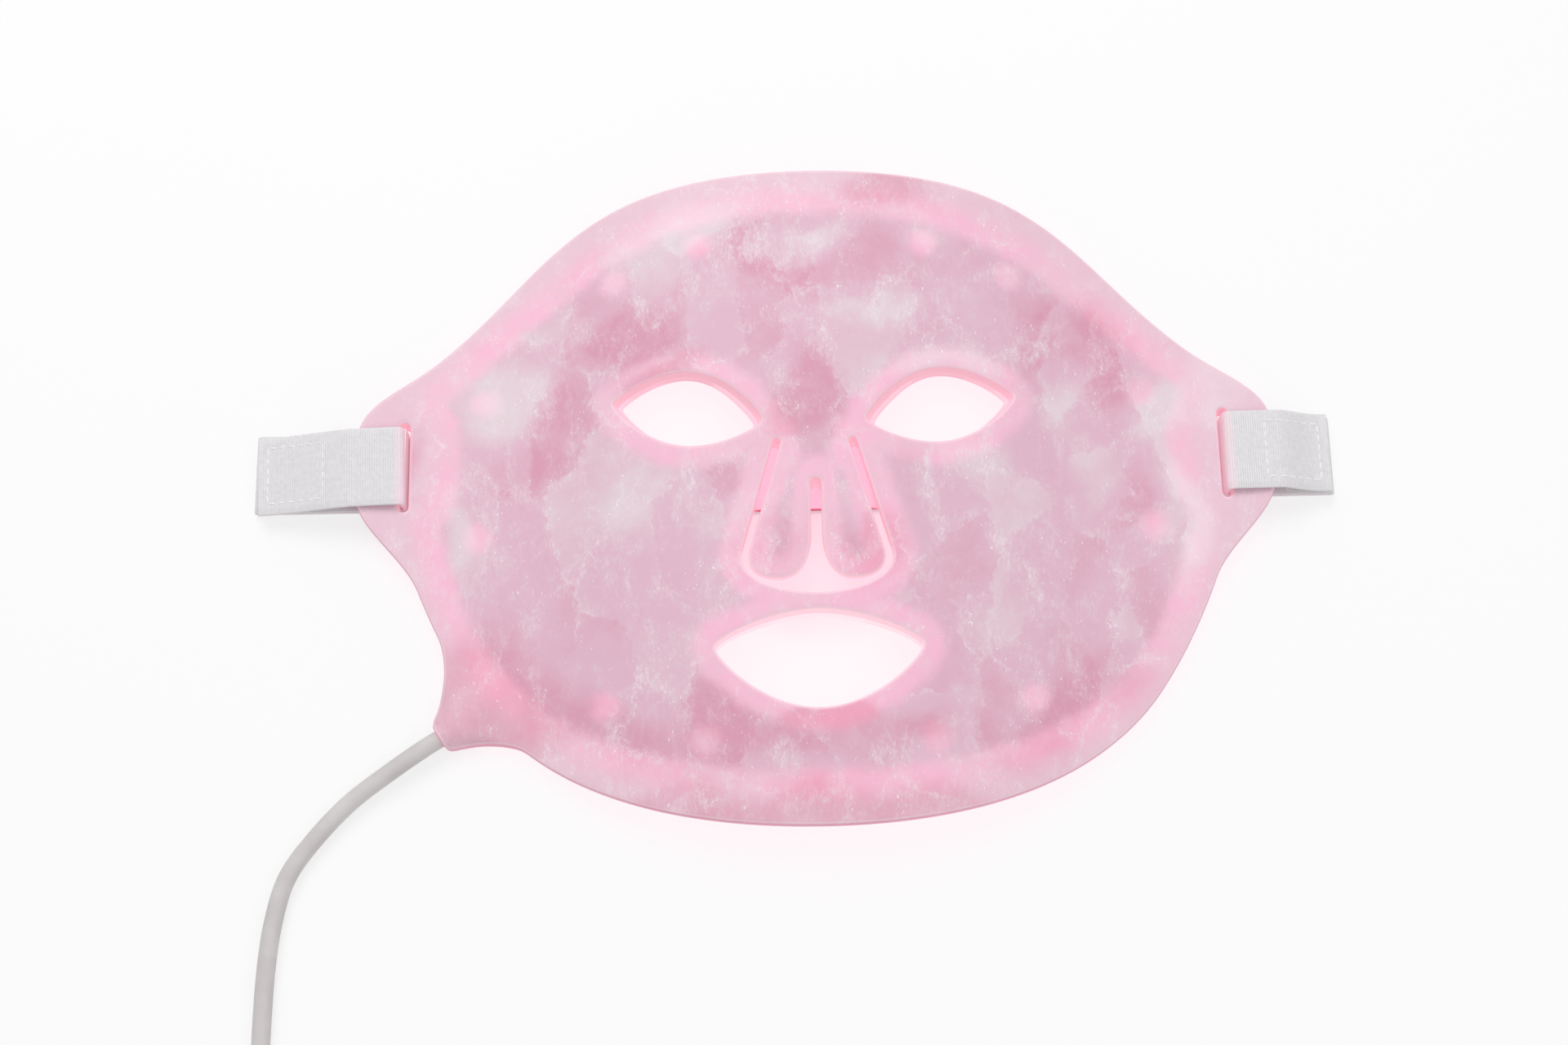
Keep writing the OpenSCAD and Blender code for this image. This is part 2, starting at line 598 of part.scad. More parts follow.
// Plug at the end of the lead
tongue_t = 1.9;
neck_l = 9;
seat_l = 6;
module at_plug() translate(plug_point) children();
module plug_block(l, w, h) translate([0, -w / 2, -h / 2]) cube([l, w, h]);
module plug_body() color("#cbc8c9") at_plug() difference() {
    union() {
        rotate([0, 90, 0]) cylinder(d1 = cord_d + 1.2, d2 = plug_h - 0.6, h = neck_l);
        translate([neck_l, 0, 0]) plug_block(plug_l, plug_w, plug_h);
    }
    translate([neck_l + plug_l - seat_l, 0, 0]) plug_block(seat_l + 1, shell_w, shell_h);
}
shell_back = neck_l + plug_l - seat_l;
module plug_shell() color("#cfd3d6") at_plug() translate([shell_back, 0, 0]) difference() {
    plug_block(seat_l + shell_l, shell_w, shell_h);
    translate([-1, 0, 0])
        plug_block(seat_l + shell_l + 2, shell_w - 2 * shell_wall, shell_h - 2 * shell_wall);
}
tongue_w = shell_w - 2 * shell_wall;
tongue_z = -shell_h / 2 + shell_wall + tongue_t / 2;
module plug_tongue() color("#f2f2ef") at_plug() translate([shell_back, 0, tongue_z])
    plug_block(seat_l + shell_l - 0.8, tongue_w, tongue_t);
contact_t = 0.2;
module plug_contacts() color("#d8b45a") at_plug() for (i = [0:3])
    translate([shell_back + 5, (i - 1.5) * 2.25, tongue_z + tongue_t / 2 + contact_t / 2])
        plug_block(shell_l - 1.5, 1.2, contact_t);

// Webbing strap, drawn in the plane of its length (u outwards from the slot, z up)
ribbon_r = 1.6;
slot_u = 0.3;
band_z = strap_t / 2;
rear_z = band_z + strap_t + ply_gap;
tab_front = lift(slot_x) + sheet_t;
split_z = tab_front + 0.2;
turn_z = split_z + peel_gap;
edge_z = tab_front + tab_slope * slot_inset + 0.6 + strap_t / 2;
end_z = rear_z + strap_t + 2 * tape_t + bond + 0.1;
fold_l = 0.4;
tab_drop_start = slot_inset + 1;
function arc(mid, r, from, to, n = 8) = [for (i = [0:n]) mid + polar(r, from + (to - from) * i / n)];
function ribbon_side(path, by) = [for (i = [0:len(path) - 1])
    let (a = path[max(i - 1, 0)], b = path[min(i + 1, len(path) - 1)], d = (b - a) / norm(b - a))
    path[i] + by * [-d[1], d[0]]];
function ribbon(path, t, shift = 0) = concat(ribbon_side(path, shift + t / 2),
    backwards(ribbon_side(path, shift - t / 2)));
function loop_path(l) = concat([[l + join_gap, band_z]],
    arc([l + fold_l, (band_z + rear_z) / 2], (rear_z - band_z) / 2, -90, 90),
    arc([slot_u + ribbon_r, rear_z + ribbon_r], ribbon_r, 270, 180), [[slot_u, split_z]]);
function flap_drop(l) = min(tab_drop_start + 18, l - 4);
function flap_path(l) = concat(
    arc([slot_u + ribbon_r, turn_z], ribbon_r, 180, 90),
    cubic([slot_u + ribbon_r + 0.5, turn_z + ribbon_r], [slot_u + 6, turn_z + ribbon_r + 0.2],
        [tab_drop_start - 4, edge_z - 0.2], [tab_drop_start, edge_z], 6),
    cubic([tab_drop_start, edge_z], [tab_drop_start + 5, edge_z + 0.1],
        [flap_drop(l) - 6, end_z], [flap_drop(l), end_z], 10),
    [[flap_drop(l), end_z], [l, end_z]]);
function drop_part(l) = [for (p = flap_path(l)) if (p[0] > tab_drop_start + 1 && p[0] < l - 0.5) p];
module webbing_at(side, turn, w) translate([side * slot_x, slot_y, 0]) rotate([0, 0, turn])
    mirror([side < 0 ? 1 : 0, 0, 0]) rotate([90, 0, 0]) linear_extrude(w, center = true) children();
tape_w = strap_w - tape_margin;
module strap_loop(side, l) color(webbing) webbing_at(side, 0, strap_w)
    polygon(ribbon(loop_path(l), strap_t));
module loop_tape(side, l) color("#dedbdc") webbing_at(side, 0, tape_w)
    translate([tab_drop_start + 3, rear_z + strap_t / 2]) square([l - tab_drop_start - 4, tape_t]);
module strap_flap(side, l, turn) color(webbing) webbing_at(side, turn, strap_w)
    polygon(ribbon(flap_path(l), strap_t));
module hook_tape(side, l, turn) color("#d2cfd0") webbing_at(side, turn, tape_w)
    polygon(ribbon(concat(drop_part(l), [[l - 1, end_z]]), tape_t,
        -(strap_t + tape_t) / 2 - bond));

// Band behind the mask: as wide as the webbing at the loops, narrower and lower in the middle
wide_x = slot_x - 23;
narrow_x = wide_x - 50;
function band_share(x) = let (u = min(1, max(0, (abs(x) - narrow_x) / (wide_x - narrow_x))))
    u * u * (3 - 2 * u);
function band_side(x, side) = [x, slot_y - band_sag * (1 - band_share(x))
    + side * (band_w + (strap_w - band_w) * band_share(x)) / 2];
band_stations = concat([-slot_x - left_flap_l], [for (x = [-wide_x:10:-narrow_x]) x],
    [for (x = [narrow_x:10:wide_x]) x], [slot_x + right_flap_l]);
module strap_band() color(webbing) linear_extrude(strap_t)
    polygon(concat([for (x = band_stations) band_side(x, -1)],
        backwards([for (x = band_stations) band_side(x, 1)])));

front_sheet(0);  // front_skin
rear_sheet(0);  // rear_skin
board(0);  // flex_board
lamps(0, 0);  // red_lamps
lamps(0, 1);  // infrared_lamps
resistor_set(0);  // resistors
front_sheet(-1);  // left_front_skin
rear_sheet(-1);  // left_rear_skin
board(-1);  // left_flex_board
lamps(-1, 0);  // left_red_lamps
lamps(-1, 1);  // left_infrared_lamps
resistor_set(-1);  // left_resistors
front_sheet(1);  // right_front_skin
rear_sheet(1);  // right_rear_skin
board(1);  // right_flex_board
lamps(1, 0);  // right_red_lamps
lamps(1, 1);  // right_infrared_lamps
resistor_set(1);  // right_resistors
nose_front_skin();
nose_rear_skin();
nose_flex_board();
nose_lamps();
cord_entry();
cord_collar();
core_wires();
solder_joints();
cord_lead();
cord_coil();
coil_tie();
plug_body();
plug_shell();
plug_tongue();
plug_contacts();
strap_band();
strap_loop(-1, left_flap_l);  // left_strap_loop
strap_loop(1, right_flap_l);  // right_strap_loop
loop_tape(-1, left_flap_l);  // left_loop_tape
loop_tape(1, right_flap_l);  // right_loop_tape
strap_flap(-1, left_flap_l, left_turn);  // left_strap_flap
strap_flap(1, right_flap_l, right_turn);  // right_strap_flap
hook_tape(-1, left_flap_l, left_turn);  // left_hook_tape
hook_tape(1, right_flap_l, right_turn);  // right_hook_tape
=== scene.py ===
"""Flexible light-therapy face mask lying face up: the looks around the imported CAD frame."""

import json
import math

import bmesh
import bpy
import numpy as np
from mathutils import Matrix, Vector
from mathutils.geometry import delaunay_2d_cdt
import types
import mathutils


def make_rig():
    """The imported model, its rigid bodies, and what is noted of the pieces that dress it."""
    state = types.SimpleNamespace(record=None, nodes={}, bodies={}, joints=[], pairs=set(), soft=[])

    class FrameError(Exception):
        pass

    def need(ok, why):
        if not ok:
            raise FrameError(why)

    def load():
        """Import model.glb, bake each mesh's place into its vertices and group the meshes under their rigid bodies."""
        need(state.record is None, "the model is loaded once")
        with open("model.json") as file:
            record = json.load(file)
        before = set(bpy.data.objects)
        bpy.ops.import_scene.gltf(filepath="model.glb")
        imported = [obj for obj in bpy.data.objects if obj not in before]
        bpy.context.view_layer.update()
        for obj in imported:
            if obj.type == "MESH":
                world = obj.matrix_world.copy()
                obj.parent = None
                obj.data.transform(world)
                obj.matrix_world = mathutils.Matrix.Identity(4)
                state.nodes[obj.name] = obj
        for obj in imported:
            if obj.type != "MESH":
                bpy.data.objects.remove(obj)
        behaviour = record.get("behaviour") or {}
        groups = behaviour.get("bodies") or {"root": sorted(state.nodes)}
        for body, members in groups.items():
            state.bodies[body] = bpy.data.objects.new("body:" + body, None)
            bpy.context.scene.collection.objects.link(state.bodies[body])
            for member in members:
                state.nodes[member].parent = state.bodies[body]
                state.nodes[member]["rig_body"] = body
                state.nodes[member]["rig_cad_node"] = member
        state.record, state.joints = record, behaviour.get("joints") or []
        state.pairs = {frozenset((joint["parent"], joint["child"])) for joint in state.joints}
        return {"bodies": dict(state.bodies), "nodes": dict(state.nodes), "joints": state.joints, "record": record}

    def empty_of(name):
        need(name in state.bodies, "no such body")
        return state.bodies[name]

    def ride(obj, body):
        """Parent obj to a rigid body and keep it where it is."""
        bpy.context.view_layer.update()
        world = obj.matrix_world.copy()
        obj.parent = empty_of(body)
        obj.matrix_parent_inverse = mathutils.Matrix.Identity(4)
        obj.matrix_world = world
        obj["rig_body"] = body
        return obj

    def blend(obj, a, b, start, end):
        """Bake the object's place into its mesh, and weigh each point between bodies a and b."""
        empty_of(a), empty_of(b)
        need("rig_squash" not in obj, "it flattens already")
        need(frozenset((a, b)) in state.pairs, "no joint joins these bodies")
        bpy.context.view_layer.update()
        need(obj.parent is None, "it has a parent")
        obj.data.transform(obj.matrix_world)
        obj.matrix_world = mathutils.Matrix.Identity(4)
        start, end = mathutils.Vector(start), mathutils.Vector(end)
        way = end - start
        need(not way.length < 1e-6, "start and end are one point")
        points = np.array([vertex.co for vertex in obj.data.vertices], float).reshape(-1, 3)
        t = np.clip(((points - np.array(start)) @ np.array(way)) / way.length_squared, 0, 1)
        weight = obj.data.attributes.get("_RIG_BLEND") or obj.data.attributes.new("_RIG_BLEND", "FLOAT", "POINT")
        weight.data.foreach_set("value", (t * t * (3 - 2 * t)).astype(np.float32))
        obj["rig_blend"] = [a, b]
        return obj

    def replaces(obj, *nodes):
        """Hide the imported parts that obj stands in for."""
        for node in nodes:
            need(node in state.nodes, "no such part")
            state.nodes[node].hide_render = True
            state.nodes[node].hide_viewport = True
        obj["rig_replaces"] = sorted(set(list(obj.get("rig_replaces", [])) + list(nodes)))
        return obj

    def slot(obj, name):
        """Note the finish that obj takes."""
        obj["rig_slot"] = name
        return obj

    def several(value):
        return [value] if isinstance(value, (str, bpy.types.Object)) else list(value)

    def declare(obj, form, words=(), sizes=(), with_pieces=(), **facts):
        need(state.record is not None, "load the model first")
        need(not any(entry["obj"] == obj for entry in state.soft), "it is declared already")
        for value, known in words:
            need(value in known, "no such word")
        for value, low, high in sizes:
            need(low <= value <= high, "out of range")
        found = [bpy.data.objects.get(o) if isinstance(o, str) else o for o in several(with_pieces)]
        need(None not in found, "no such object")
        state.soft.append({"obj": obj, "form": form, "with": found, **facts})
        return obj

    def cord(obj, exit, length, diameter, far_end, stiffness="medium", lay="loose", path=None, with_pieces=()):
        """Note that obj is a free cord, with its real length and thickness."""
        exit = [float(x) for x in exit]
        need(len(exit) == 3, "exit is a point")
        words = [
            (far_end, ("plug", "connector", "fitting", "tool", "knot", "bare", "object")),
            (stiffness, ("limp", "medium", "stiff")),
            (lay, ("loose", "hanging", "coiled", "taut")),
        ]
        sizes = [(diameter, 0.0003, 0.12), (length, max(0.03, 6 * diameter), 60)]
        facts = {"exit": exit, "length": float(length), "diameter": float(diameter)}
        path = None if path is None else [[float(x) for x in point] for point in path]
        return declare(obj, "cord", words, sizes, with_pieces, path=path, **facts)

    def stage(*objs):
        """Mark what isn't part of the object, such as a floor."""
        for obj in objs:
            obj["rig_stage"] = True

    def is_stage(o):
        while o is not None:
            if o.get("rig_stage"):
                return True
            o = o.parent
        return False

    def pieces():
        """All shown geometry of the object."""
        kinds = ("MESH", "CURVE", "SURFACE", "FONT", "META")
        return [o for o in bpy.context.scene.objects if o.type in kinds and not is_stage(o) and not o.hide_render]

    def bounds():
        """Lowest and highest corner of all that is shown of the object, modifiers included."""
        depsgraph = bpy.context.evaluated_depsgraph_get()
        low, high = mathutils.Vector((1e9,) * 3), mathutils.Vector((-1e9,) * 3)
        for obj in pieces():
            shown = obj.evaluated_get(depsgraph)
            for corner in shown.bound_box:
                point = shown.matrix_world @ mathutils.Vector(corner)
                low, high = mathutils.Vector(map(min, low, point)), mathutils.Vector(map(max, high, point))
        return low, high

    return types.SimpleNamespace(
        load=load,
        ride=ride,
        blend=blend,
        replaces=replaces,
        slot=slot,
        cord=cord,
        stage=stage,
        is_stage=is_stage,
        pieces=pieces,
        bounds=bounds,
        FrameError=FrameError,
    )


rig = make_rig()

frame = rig.load()
cad_low, cad_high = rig.bounds()
MM = 0.001
scene = bpy.context.scene
scene.view_settings.view_transform = "Standard"

# Sizes in millimetres and angles in degrees, as in the part's source: sheet
MASK_H = 207.0
TAB_X = 143.0
SHEET_T = 5.0
REAR_T = 2.0
BOARD_H = 2.05
FLEX_X = 68.0
VALLEY_X = 100.0
VALLEY_Z = 1.6
ARCH_RISE = 12.0
TAB_SLOPE = 0.1
TAB_CURVE_R = 150.0
SLOT_X, SLOT_Y, SLOT_L, SLOT_W = 128.0, 10.5, 28.5, 3.0
BRIDGE_X, BRIDGE_Y = 10.7, 13.4
BOSS_END = np.array([-115.3, -74.1])
BOSS_ANGLE = 211.4
BOSS_R = 4.7

# Lead and its coil
CORD_D = 5.5
LEAD_Z = 2.8
COIL_Z = 4.05
COIL_R = 24.0
COIL_PITCH = 6.2
COIL_TURNS = 2.375
CROSS_TURN, CROSS_DIP = 0.5, 1.6
COIL_STEPS = 48
COIL_OUT = COIL_R + COIL_PITCH * COIL_TURNS
COIL_X = -166.0
COIL_MID = np.array([COIL_X + COIL_OUT, -214.0])
PLUG_Z = 4.0
# Where the lead no longer follows the wing
LEAD_STILL = (-160, -113, LEAD_Z)

# Strap: reach of each end past its slot, and its turn in plan
STRAP_W = 25.0
STRAP_T = 1.3
STRAP_ENDS = {"left_": (46.0, 2.0), "right_": (33.0, 0.0)}

# Bends: each wing's body and side, where a bend is whole, and cuts that let flat pieces follow
WINGS = {"left_": ("left_wing", -1), "right_": ("right_wing", 1)}
BEND_END = 110.0
NOSE_END = BRIDGE_Y - 13
WING_CUTS = np.arange(FLEX_X + 1, BEND_END + 2, 2.5)
NOSE_CUTS = np.arange(NOSE_END, BRIDGE_Y, 1.2)

TINY = 1e-12
BATCH = 2000


# Plane curves
def polar(r, degrees):
    a = math.radians(degrees)
    return np.array([r * math.cos(a), r * math.sin(a)])


def rotated(points, degrees):
    """Points turned in plan about the origin; heights stay."""
    p = np.array(points, float)
    c, s = polar(1, degrees)
    x, y = p[:, 0].copy(), p[:, 1].copy()
    p[:, 0], p[:, 1] = x * c - y * s, x * s + y * c
    return p


def arc(middle, r, a0, a1, n=14):
    return [np.asarray(middle) + polar(r, a) for a in np.linspace(a0, a1, n)]


def cubic(a, b, c, d, n=48):
    t = np.linspace(0, 1, n, endpoint=False)[:, None]
    a, b, c, d = (np.asarray(p, float) for p in (a, b, c, d))
    return (1 - t) ** 3 * a + 3 * (1 - t) ** 2 * t * b + 3 * (1 - t) * t * t * c + t**3 * d


def flipped(points):
    return np.array(points)[::-1] * [-1, 1]


def both_sides(half):
    mirrored = flipped(half)
    return np.vstack([half, mirrored[mirrored[:, 0] < -1e-3]])


def run_lengths(points):
    return np.concatenate([[0], np.cumsum(np.linalg.norm(np.diff(points, axis=0), axis=1))])


def resample(points, step, closed=True):
    p = np.vstack([points, points[:1]]) if closed else np.asarray(points, float)
    length = run_lengths(p)
    keep = np.concatenate([[True], np.diff(length) > 1e-9])
    p, length = p[keep], length[keep]
    n = max(8, int(round(length[-1] / step)))
    at = np.linspace(0, length[-1], n, endpoint=not closed)
    return np.stack([np.interp(at, length, p[:, k]) for k in range(p.shape[1])], 1)


def smoothstep(lo, hi, x):
    t = np.clip((x - lo) / (hi - lo), 0, 1)
    return t * t * (3 - 2 * t)


def fade(lo, hi, x):
    return 1 - smoothstep(lo, hi, x)


def segment_distance(points, a, b):
    """Distance from each point to the nearest of the segments from a to b."""
    d = b - a
    dd = np.maximum((d * d).sum(1), TINY)
    best = np.empty(len(points))
    for i in range(0, len(points), BATCH):
        p = points[i : i + BATCH, None, :] - a[None]
        t = np.clip((p * d).sum(2) / dd, 0, 1)
        best[i : i + BATCH] = np.sqrt((((p - t[:, :, None] * d) ** 2).sum(2)).min(1))
    return best


def near_loop(points, loops):
    ends = [np.roll(loop, -1, 0) for loop in loops]
    return segment_distance(points, np.vstack(loops), np.vstack(ends))


def inside(points, loop):
    a, b = loop, np.roll(loop, -1, 0)
    dy = b[:, 1] - a[:, 1]
    lean = (b[:, 0] - a[:, 0]) / np.where(np.abs(dy) < TINY, TINY, dy)
    hit = np.zeros(len(points), bool)
    for i in range(0, len(points), BATCH):
        p = points[i : i + BATCH]
        crosses = (a[None, :, 1] > p[:, None, 1]) != (b[None, :, 1] > p[:, None, 1])
        at = a[None, :, 0] + (p[:, None, 1] - a[None, :, 1]) * lean[None]
        hit[i : i + BATCH] = (crosses & (p[:, None, 0] < at)).sum(1) % 2 == 1
    return hit


def signed_area(loop):
    a, b = loop, np.roll(loop, -1, 0)
    return 0.5 * (a[:, 0] * b[:, 1] - b[:, 0] * a[:, 1]).sum()


def crossing(loop, line):
    """First crossing of a loop with an open line: both segment numbers and the point."""
    for j in range(len(line) - 1):
        a, d = line[j], line[j + 1] - line[j]
        for i in range(len(loop) - 1):
            b, e = loop[i], loop[i + 1] - loop[i]
            det = d[0] * e[1] - d[1] * e[0]
            if abs(det) < TINY:
                continue
            t = ((b[0] - a[0]) * e[1] - (b[1] - a[1]) * e[0]) / det
            u = ((b[0] - a[0]) * d[1] - (b[1] - a[1]) * d[0]) / det
            if 0 <= t <= 1 and 0 <= u <= 1:
                return i, j, a + t * d
    raise ValueError("the neck doesn't meet the outline")


def boss_local(points):
    """Plan points in the boss's own frame: outwards, across."""
    return rotated(np.asarray(points) - BOSS_END, -BOSS_ANGLE)


def boss_world(points):
    return rotated(points, BOSS_ANGLE) + BOSS_END


# The sheet's curve: an arch over the face, a valley on each side and tabs that rise a little
ARCH_SLOPE = 2 * ARCH_RISE / VALLEY_X
ARCH_R, DIP_R = FLEX_X / ARCH_SLOPE, (VALLEY_X - FLEX_X) / ARCH_SLOPE
LINE_X = VALLEY_X + TAB_SLOPE * TAB_CURVE_R


def rise(x):
    """Height of the wearer's-side face at a distance from the nose line."""
    a = np.abs(np.asarray(x, float))
    z = np.where(a < FLEX_X, ARCH_RISE - a * a / (2 * ARCH_R), (VALLEY_X - a) ** 2 / (2 * DIP_R))
    z = np.where(a > VALLEY_X, (a - VALLEY_X) ** 2 / (2 * TAB_CURVE_R), z)
    z = np.where(a > LINE_X, TAB_SLOPE**2 * TAB_CURVE_R / 2 + (a - LINE_X) * TAB_SLOPE, z)
    return VALLEY_Z + z


def grade(x):
    a = np.abs(np.asarray(x, float))
    s = np.where(a < FLEX_X, -a / ARCH_R, (a - VALLEY_X) / DIP_R)
    return np.where(a > VALLEY_X, np.minimum(TAB_SLOPE, (a - VALLEY_X) / TAB_CURVE_R), s)


def sheet_z(x, h):
    """Height of a point of the sheet over plan position x, h above the wearer's-side face."""
    return rise(x) + np.asarray(h) * np.sqrt(1 + grade(x) ** 2)


# Outlines
def mask_outline():
    """The sheet's outer edge with the lead's neck."""
    half_h = MASK_H / 2
    jaw, cheek, temple = np.array([104, -64]), np.array([123, -29]), np.array([117, 46])
    half = np.vstack(
        [
            cubic([0, -half_h], [52, -half_h], jaw - polar(29, 54), jaw, 90),
            cubic(jaw, jaw + polar(13, 54), cheek - polar(13, 68), cheek, 50),
            cubic(cheek, cheek + polar(11.5, 68), [TAB_X, -8.5], [TAB_X, 2]),
            cubic([TAB_X, 18], [TAB_X, 31.5], temple - polar(17, 138), temple),
            cubic(temple, temple + polar(48, 138), [79, half_h], [0, half_h], 120),
            [[0, half_h]],
        ]
    )
    edge = both_sides(half)
    r = BOSS_R + 0.2
    cheek_end, chin_end = [-15.6, -30], [-22, 21]
    cheek_side = np.vstack([cubic([0, -r], [-8, -r - 5.3], [-14.5, -18.5], cheek_end), [cheek_end]])
    chin_side = np.vstack([cubic([0, r], [-6.6, r + 2.1], [-16.6, r + 5.6], chin_end), [chin_end]])
    cheek_side, chin_side = boss_world(cheek_side)[::-1], boss_world(chin_side)
    i, j, p = crossing(edge, cheek_side)
    k, m, q = crossing(edge, chin_side)
    neck = np.vstack([[p], cheek_side[j + 1 :], chin_side[: m + 1], [q]])
    return np.vstack([edge[: i + 1], neck, edge[k + 1 :]])


def eye_outline():
    long, up, down, tip, flat = 23.0, 12.5, 11.0, 1.5, 12.0
    middle, turn = [39.3, 24.5], 10
    p = np.vstack(
        [
            cubic([long, 0], [long, tip], [flat, up], [0, up]),
            cubic([0, up], [-flat, up], [-long, tip], [-long, 0]),
            cubic([-long, 0], [-long, -tip], [-flat, -down], [0, -down]),
            cubic([0, -down], [flat, -down], [long, -tip], [long, 0]),
        ]
    )
    return rotated(p, turn) + middle


def mouth_outline():
    w, y, up, down = 31.3, -49.7, 10.9, 18.8
    lower = cubic([0, y - down], [17, y - down], [w, y - 3], [w, y])
    upper = cubic([w, y], [w, y + 3], [14, y + up], [0, y + up])
    return both_sides(np.vstack([lower, upper, [[0, y + up]]]))


def chain(parts, step):
    """Open polylines joined end to end, each resampled with its own ends kept."""
    runs = [resample(np.asarray(p, float), step, closed=False) for p in parts]
    return np.vstack([r[:-1] for r in runs])


def nose_outline():
    """The gap around the nose flap as one loop, and the flap's own outline."""
    bridge, foot = np.array([BRIDGE_X, BRIDGE_Y]), np.array([20.5, -20.0])
    side = (foot - bridge) / np.linalg.norm(foot - bridge)
    across = np.array([-side[1], side[0]])
    width, mid_w, mid_y, step = 2.2, 1.65, 0.25, 0.5
    low = foot + width * across
    middle = bridge + width / 2 * across
    turn = np.linspace(0, math.pi, 16)
    tip = [middle + width / 2 * (math.cos(a) * across - math.sin(a) * side) for a in turn]
    bottom = np.vstack([cubic([0, -33.5], [14, -33.5], low + [2.9, -8.5], low), [low]])
    right_hole = [bottom, [low, tip[0]], tip]
    inner = np.vstack(
        [
            [[mid_w, mid_y]],
            cubic([mid_w, -16], [mid_w + 0.4, -23], [5, -29.3], [11.5, -29.3]),
            cubic([11.5, -29.3], [17, -29.3], foot + [1.8, -6.5], foot),
            [foot],
        ]
    )
    right_flap = [[bridge, foot], inner[::-1]]
    top = arc([0, mid_y], mid_w, 0, 180, len(turn))
    mirror = [flipped(p) for p in [*right_hole, *right_flap]][::-1]
    loop = chain([*right_hole, *right_flap, top, *mirror], step)
    flap = chain([*right_flap, top, *mirror[:2], [[-BRIDGE_X, BRIDGE_Y], bridge]], step)
    return loop, flap


def slot_outline(side):
    r, half, n = SLOT_W / 2, (SLOT_L - SLOT_W) / 2, 13
    loop = arc([0, half], r, 0, 180, n) + arc([0, -half], r, 180, 360, n)
    return np.array(loop) + [side * SLOT_X, SLOT_Y]


# Softening of the outer edge, in the boss's frame: where the neck starts, and its end corners
SOFT_PASSES = 3
NECK_START_U, NECK_START_REACH = -20, 16
CORNER_U, CORNER_REACH = -4, 2.2


def plan_loops():
    """The sheet's outer edge, its openings and the nose flap's outline, as even points."""
    outer = resample(mask_outline(), 1.0)
    for _ in range(SOFT_PASSES):
        u, v = boss_local(outer).T
        soft = np.abs(u - NECK_START_U) < NECK_START_REACH
        soft |= (u > CORNER_U) & (np.abs(np.abs(v) - BOSS_R) < CORNER_REACH)
        average = 0.25 * np.roll(outer, 1, 0) + 0.5 * outer + 0.25 * np.roll(outer, -1, 0)
        outer = np.where(soft[:, None], average, outer)
    eye = resample(eye_outline(), 0.7)
    nose, flap = nose_outline()
    holes = [eye, flipped(eye), resample(mouth_outline(), 0.7), nose]
    holes += [resample(slot_outline(side), 0.5) for side in (1, -1)]
    return outer, holes, flap


# Lamp board, seen as a shade through the front sheet
TIE_HOLES = [[35.4, 79.3], [62.5, 68.8], [103.2, 31], [105, -12.3], [64.5, -66.2], [34.3, -77.9]]
TIE_HOLE_R = 4.5
BOARD_MARGIN = 7.0
# Wedge between the eyes: lower and upper end, half width, widening and distance to the eyes
WEDGE_LOW, WEDGE_HIGH = 10, 34
WEDGE_HALF_W, WEDGE_SPREAD, WEDGE_MARGIN = 4.0, 0.28, 5.0
# Arm to the lead's neck, in the boss's frame
ARM_HALF_W, ARM_START, ARM_END = 6, -50, -22
# Right nose finger, as it lies in its recess and as its shade shows: two ends, half width at each
FINGER = ((5.2, 9.4), (11.5, -18), 1.5, 2.25)
FINGER_SHADE = ((7.2, 4), (10.8, -16), 1.2, 2.9)


def board_outline():
    corner, foot, top = [115, 31], [116, -9], [0, 88.5]
    lower = cubic([0, -87], [92, -87], [108, -45], foot)
    end = cubic(foot, [107.5, 2], [108.5, 22], corner)
    return both_sides(np.vstack([lower, end, cubic(corner, [80, 62], [60, 90], top), [top]]))


def finger_depth(points, top, foot, top_r, foot_r):
    """Signed distance into the two tapered nose fingers, positive inside."""
    depths = []
    for s in (-1, 1):
        a, b = np.array(top) * [s, 1], np.array(foot) * [s, 1]
        t = np.clip(((points - a) @ (b - a)) / ((b - a) @ (b - a)), 0, 1)
        away = np.linalg.norm(points - a - t[:, None] * (b - a), axis=1)
        depths.append(top_r + (foot_r - top_r) * t - away)
    return np.maximum(*depths)


def board_depth(points, openings):
    """Signed distances into the lamp board without and with its arms, positive under it."""
    x, y = points.T
    loop = resample(board_outline(), 1.5)
    depth = np.where(inside(points, loop), 1, -1) * near_loop(points, [loop])
    depth = np.minimum(depth, near_loop(points, openings) - BOARD_MARGIN)
    for hole_x, hole_y in TIE_HOLES:
        for s in (-1, 1):
            away = np.linalg.norm(points - [s * hole_x, hole_y], axis=1)
            depth = np.minimum(depth, away - TIE_HOLE_R)
    wedge = np.minimum(WEDGE_HALF_W + (y - WEDGE_LOW) * WEDGE_SPREAD - np.abs(x), WEDGE_HIGH - y)
    wedge = np.minimum(wedge, near_loop(points, openings[:2]) - WEDGE_MARGIN)
    depth = np.maximum(depth, np.minimum(wedge, y - WEDGE_LOW))
    u, v = boss_local(points).T
    arm = np.minimum(ARM_HALF_W - np.abs(v), np.minimum(ARM_END - u, u - ARM_START))
    whole = np.maximum(depth, arm)
    return depth, np.maximum(whole, finger_depth(points, *FINGER))


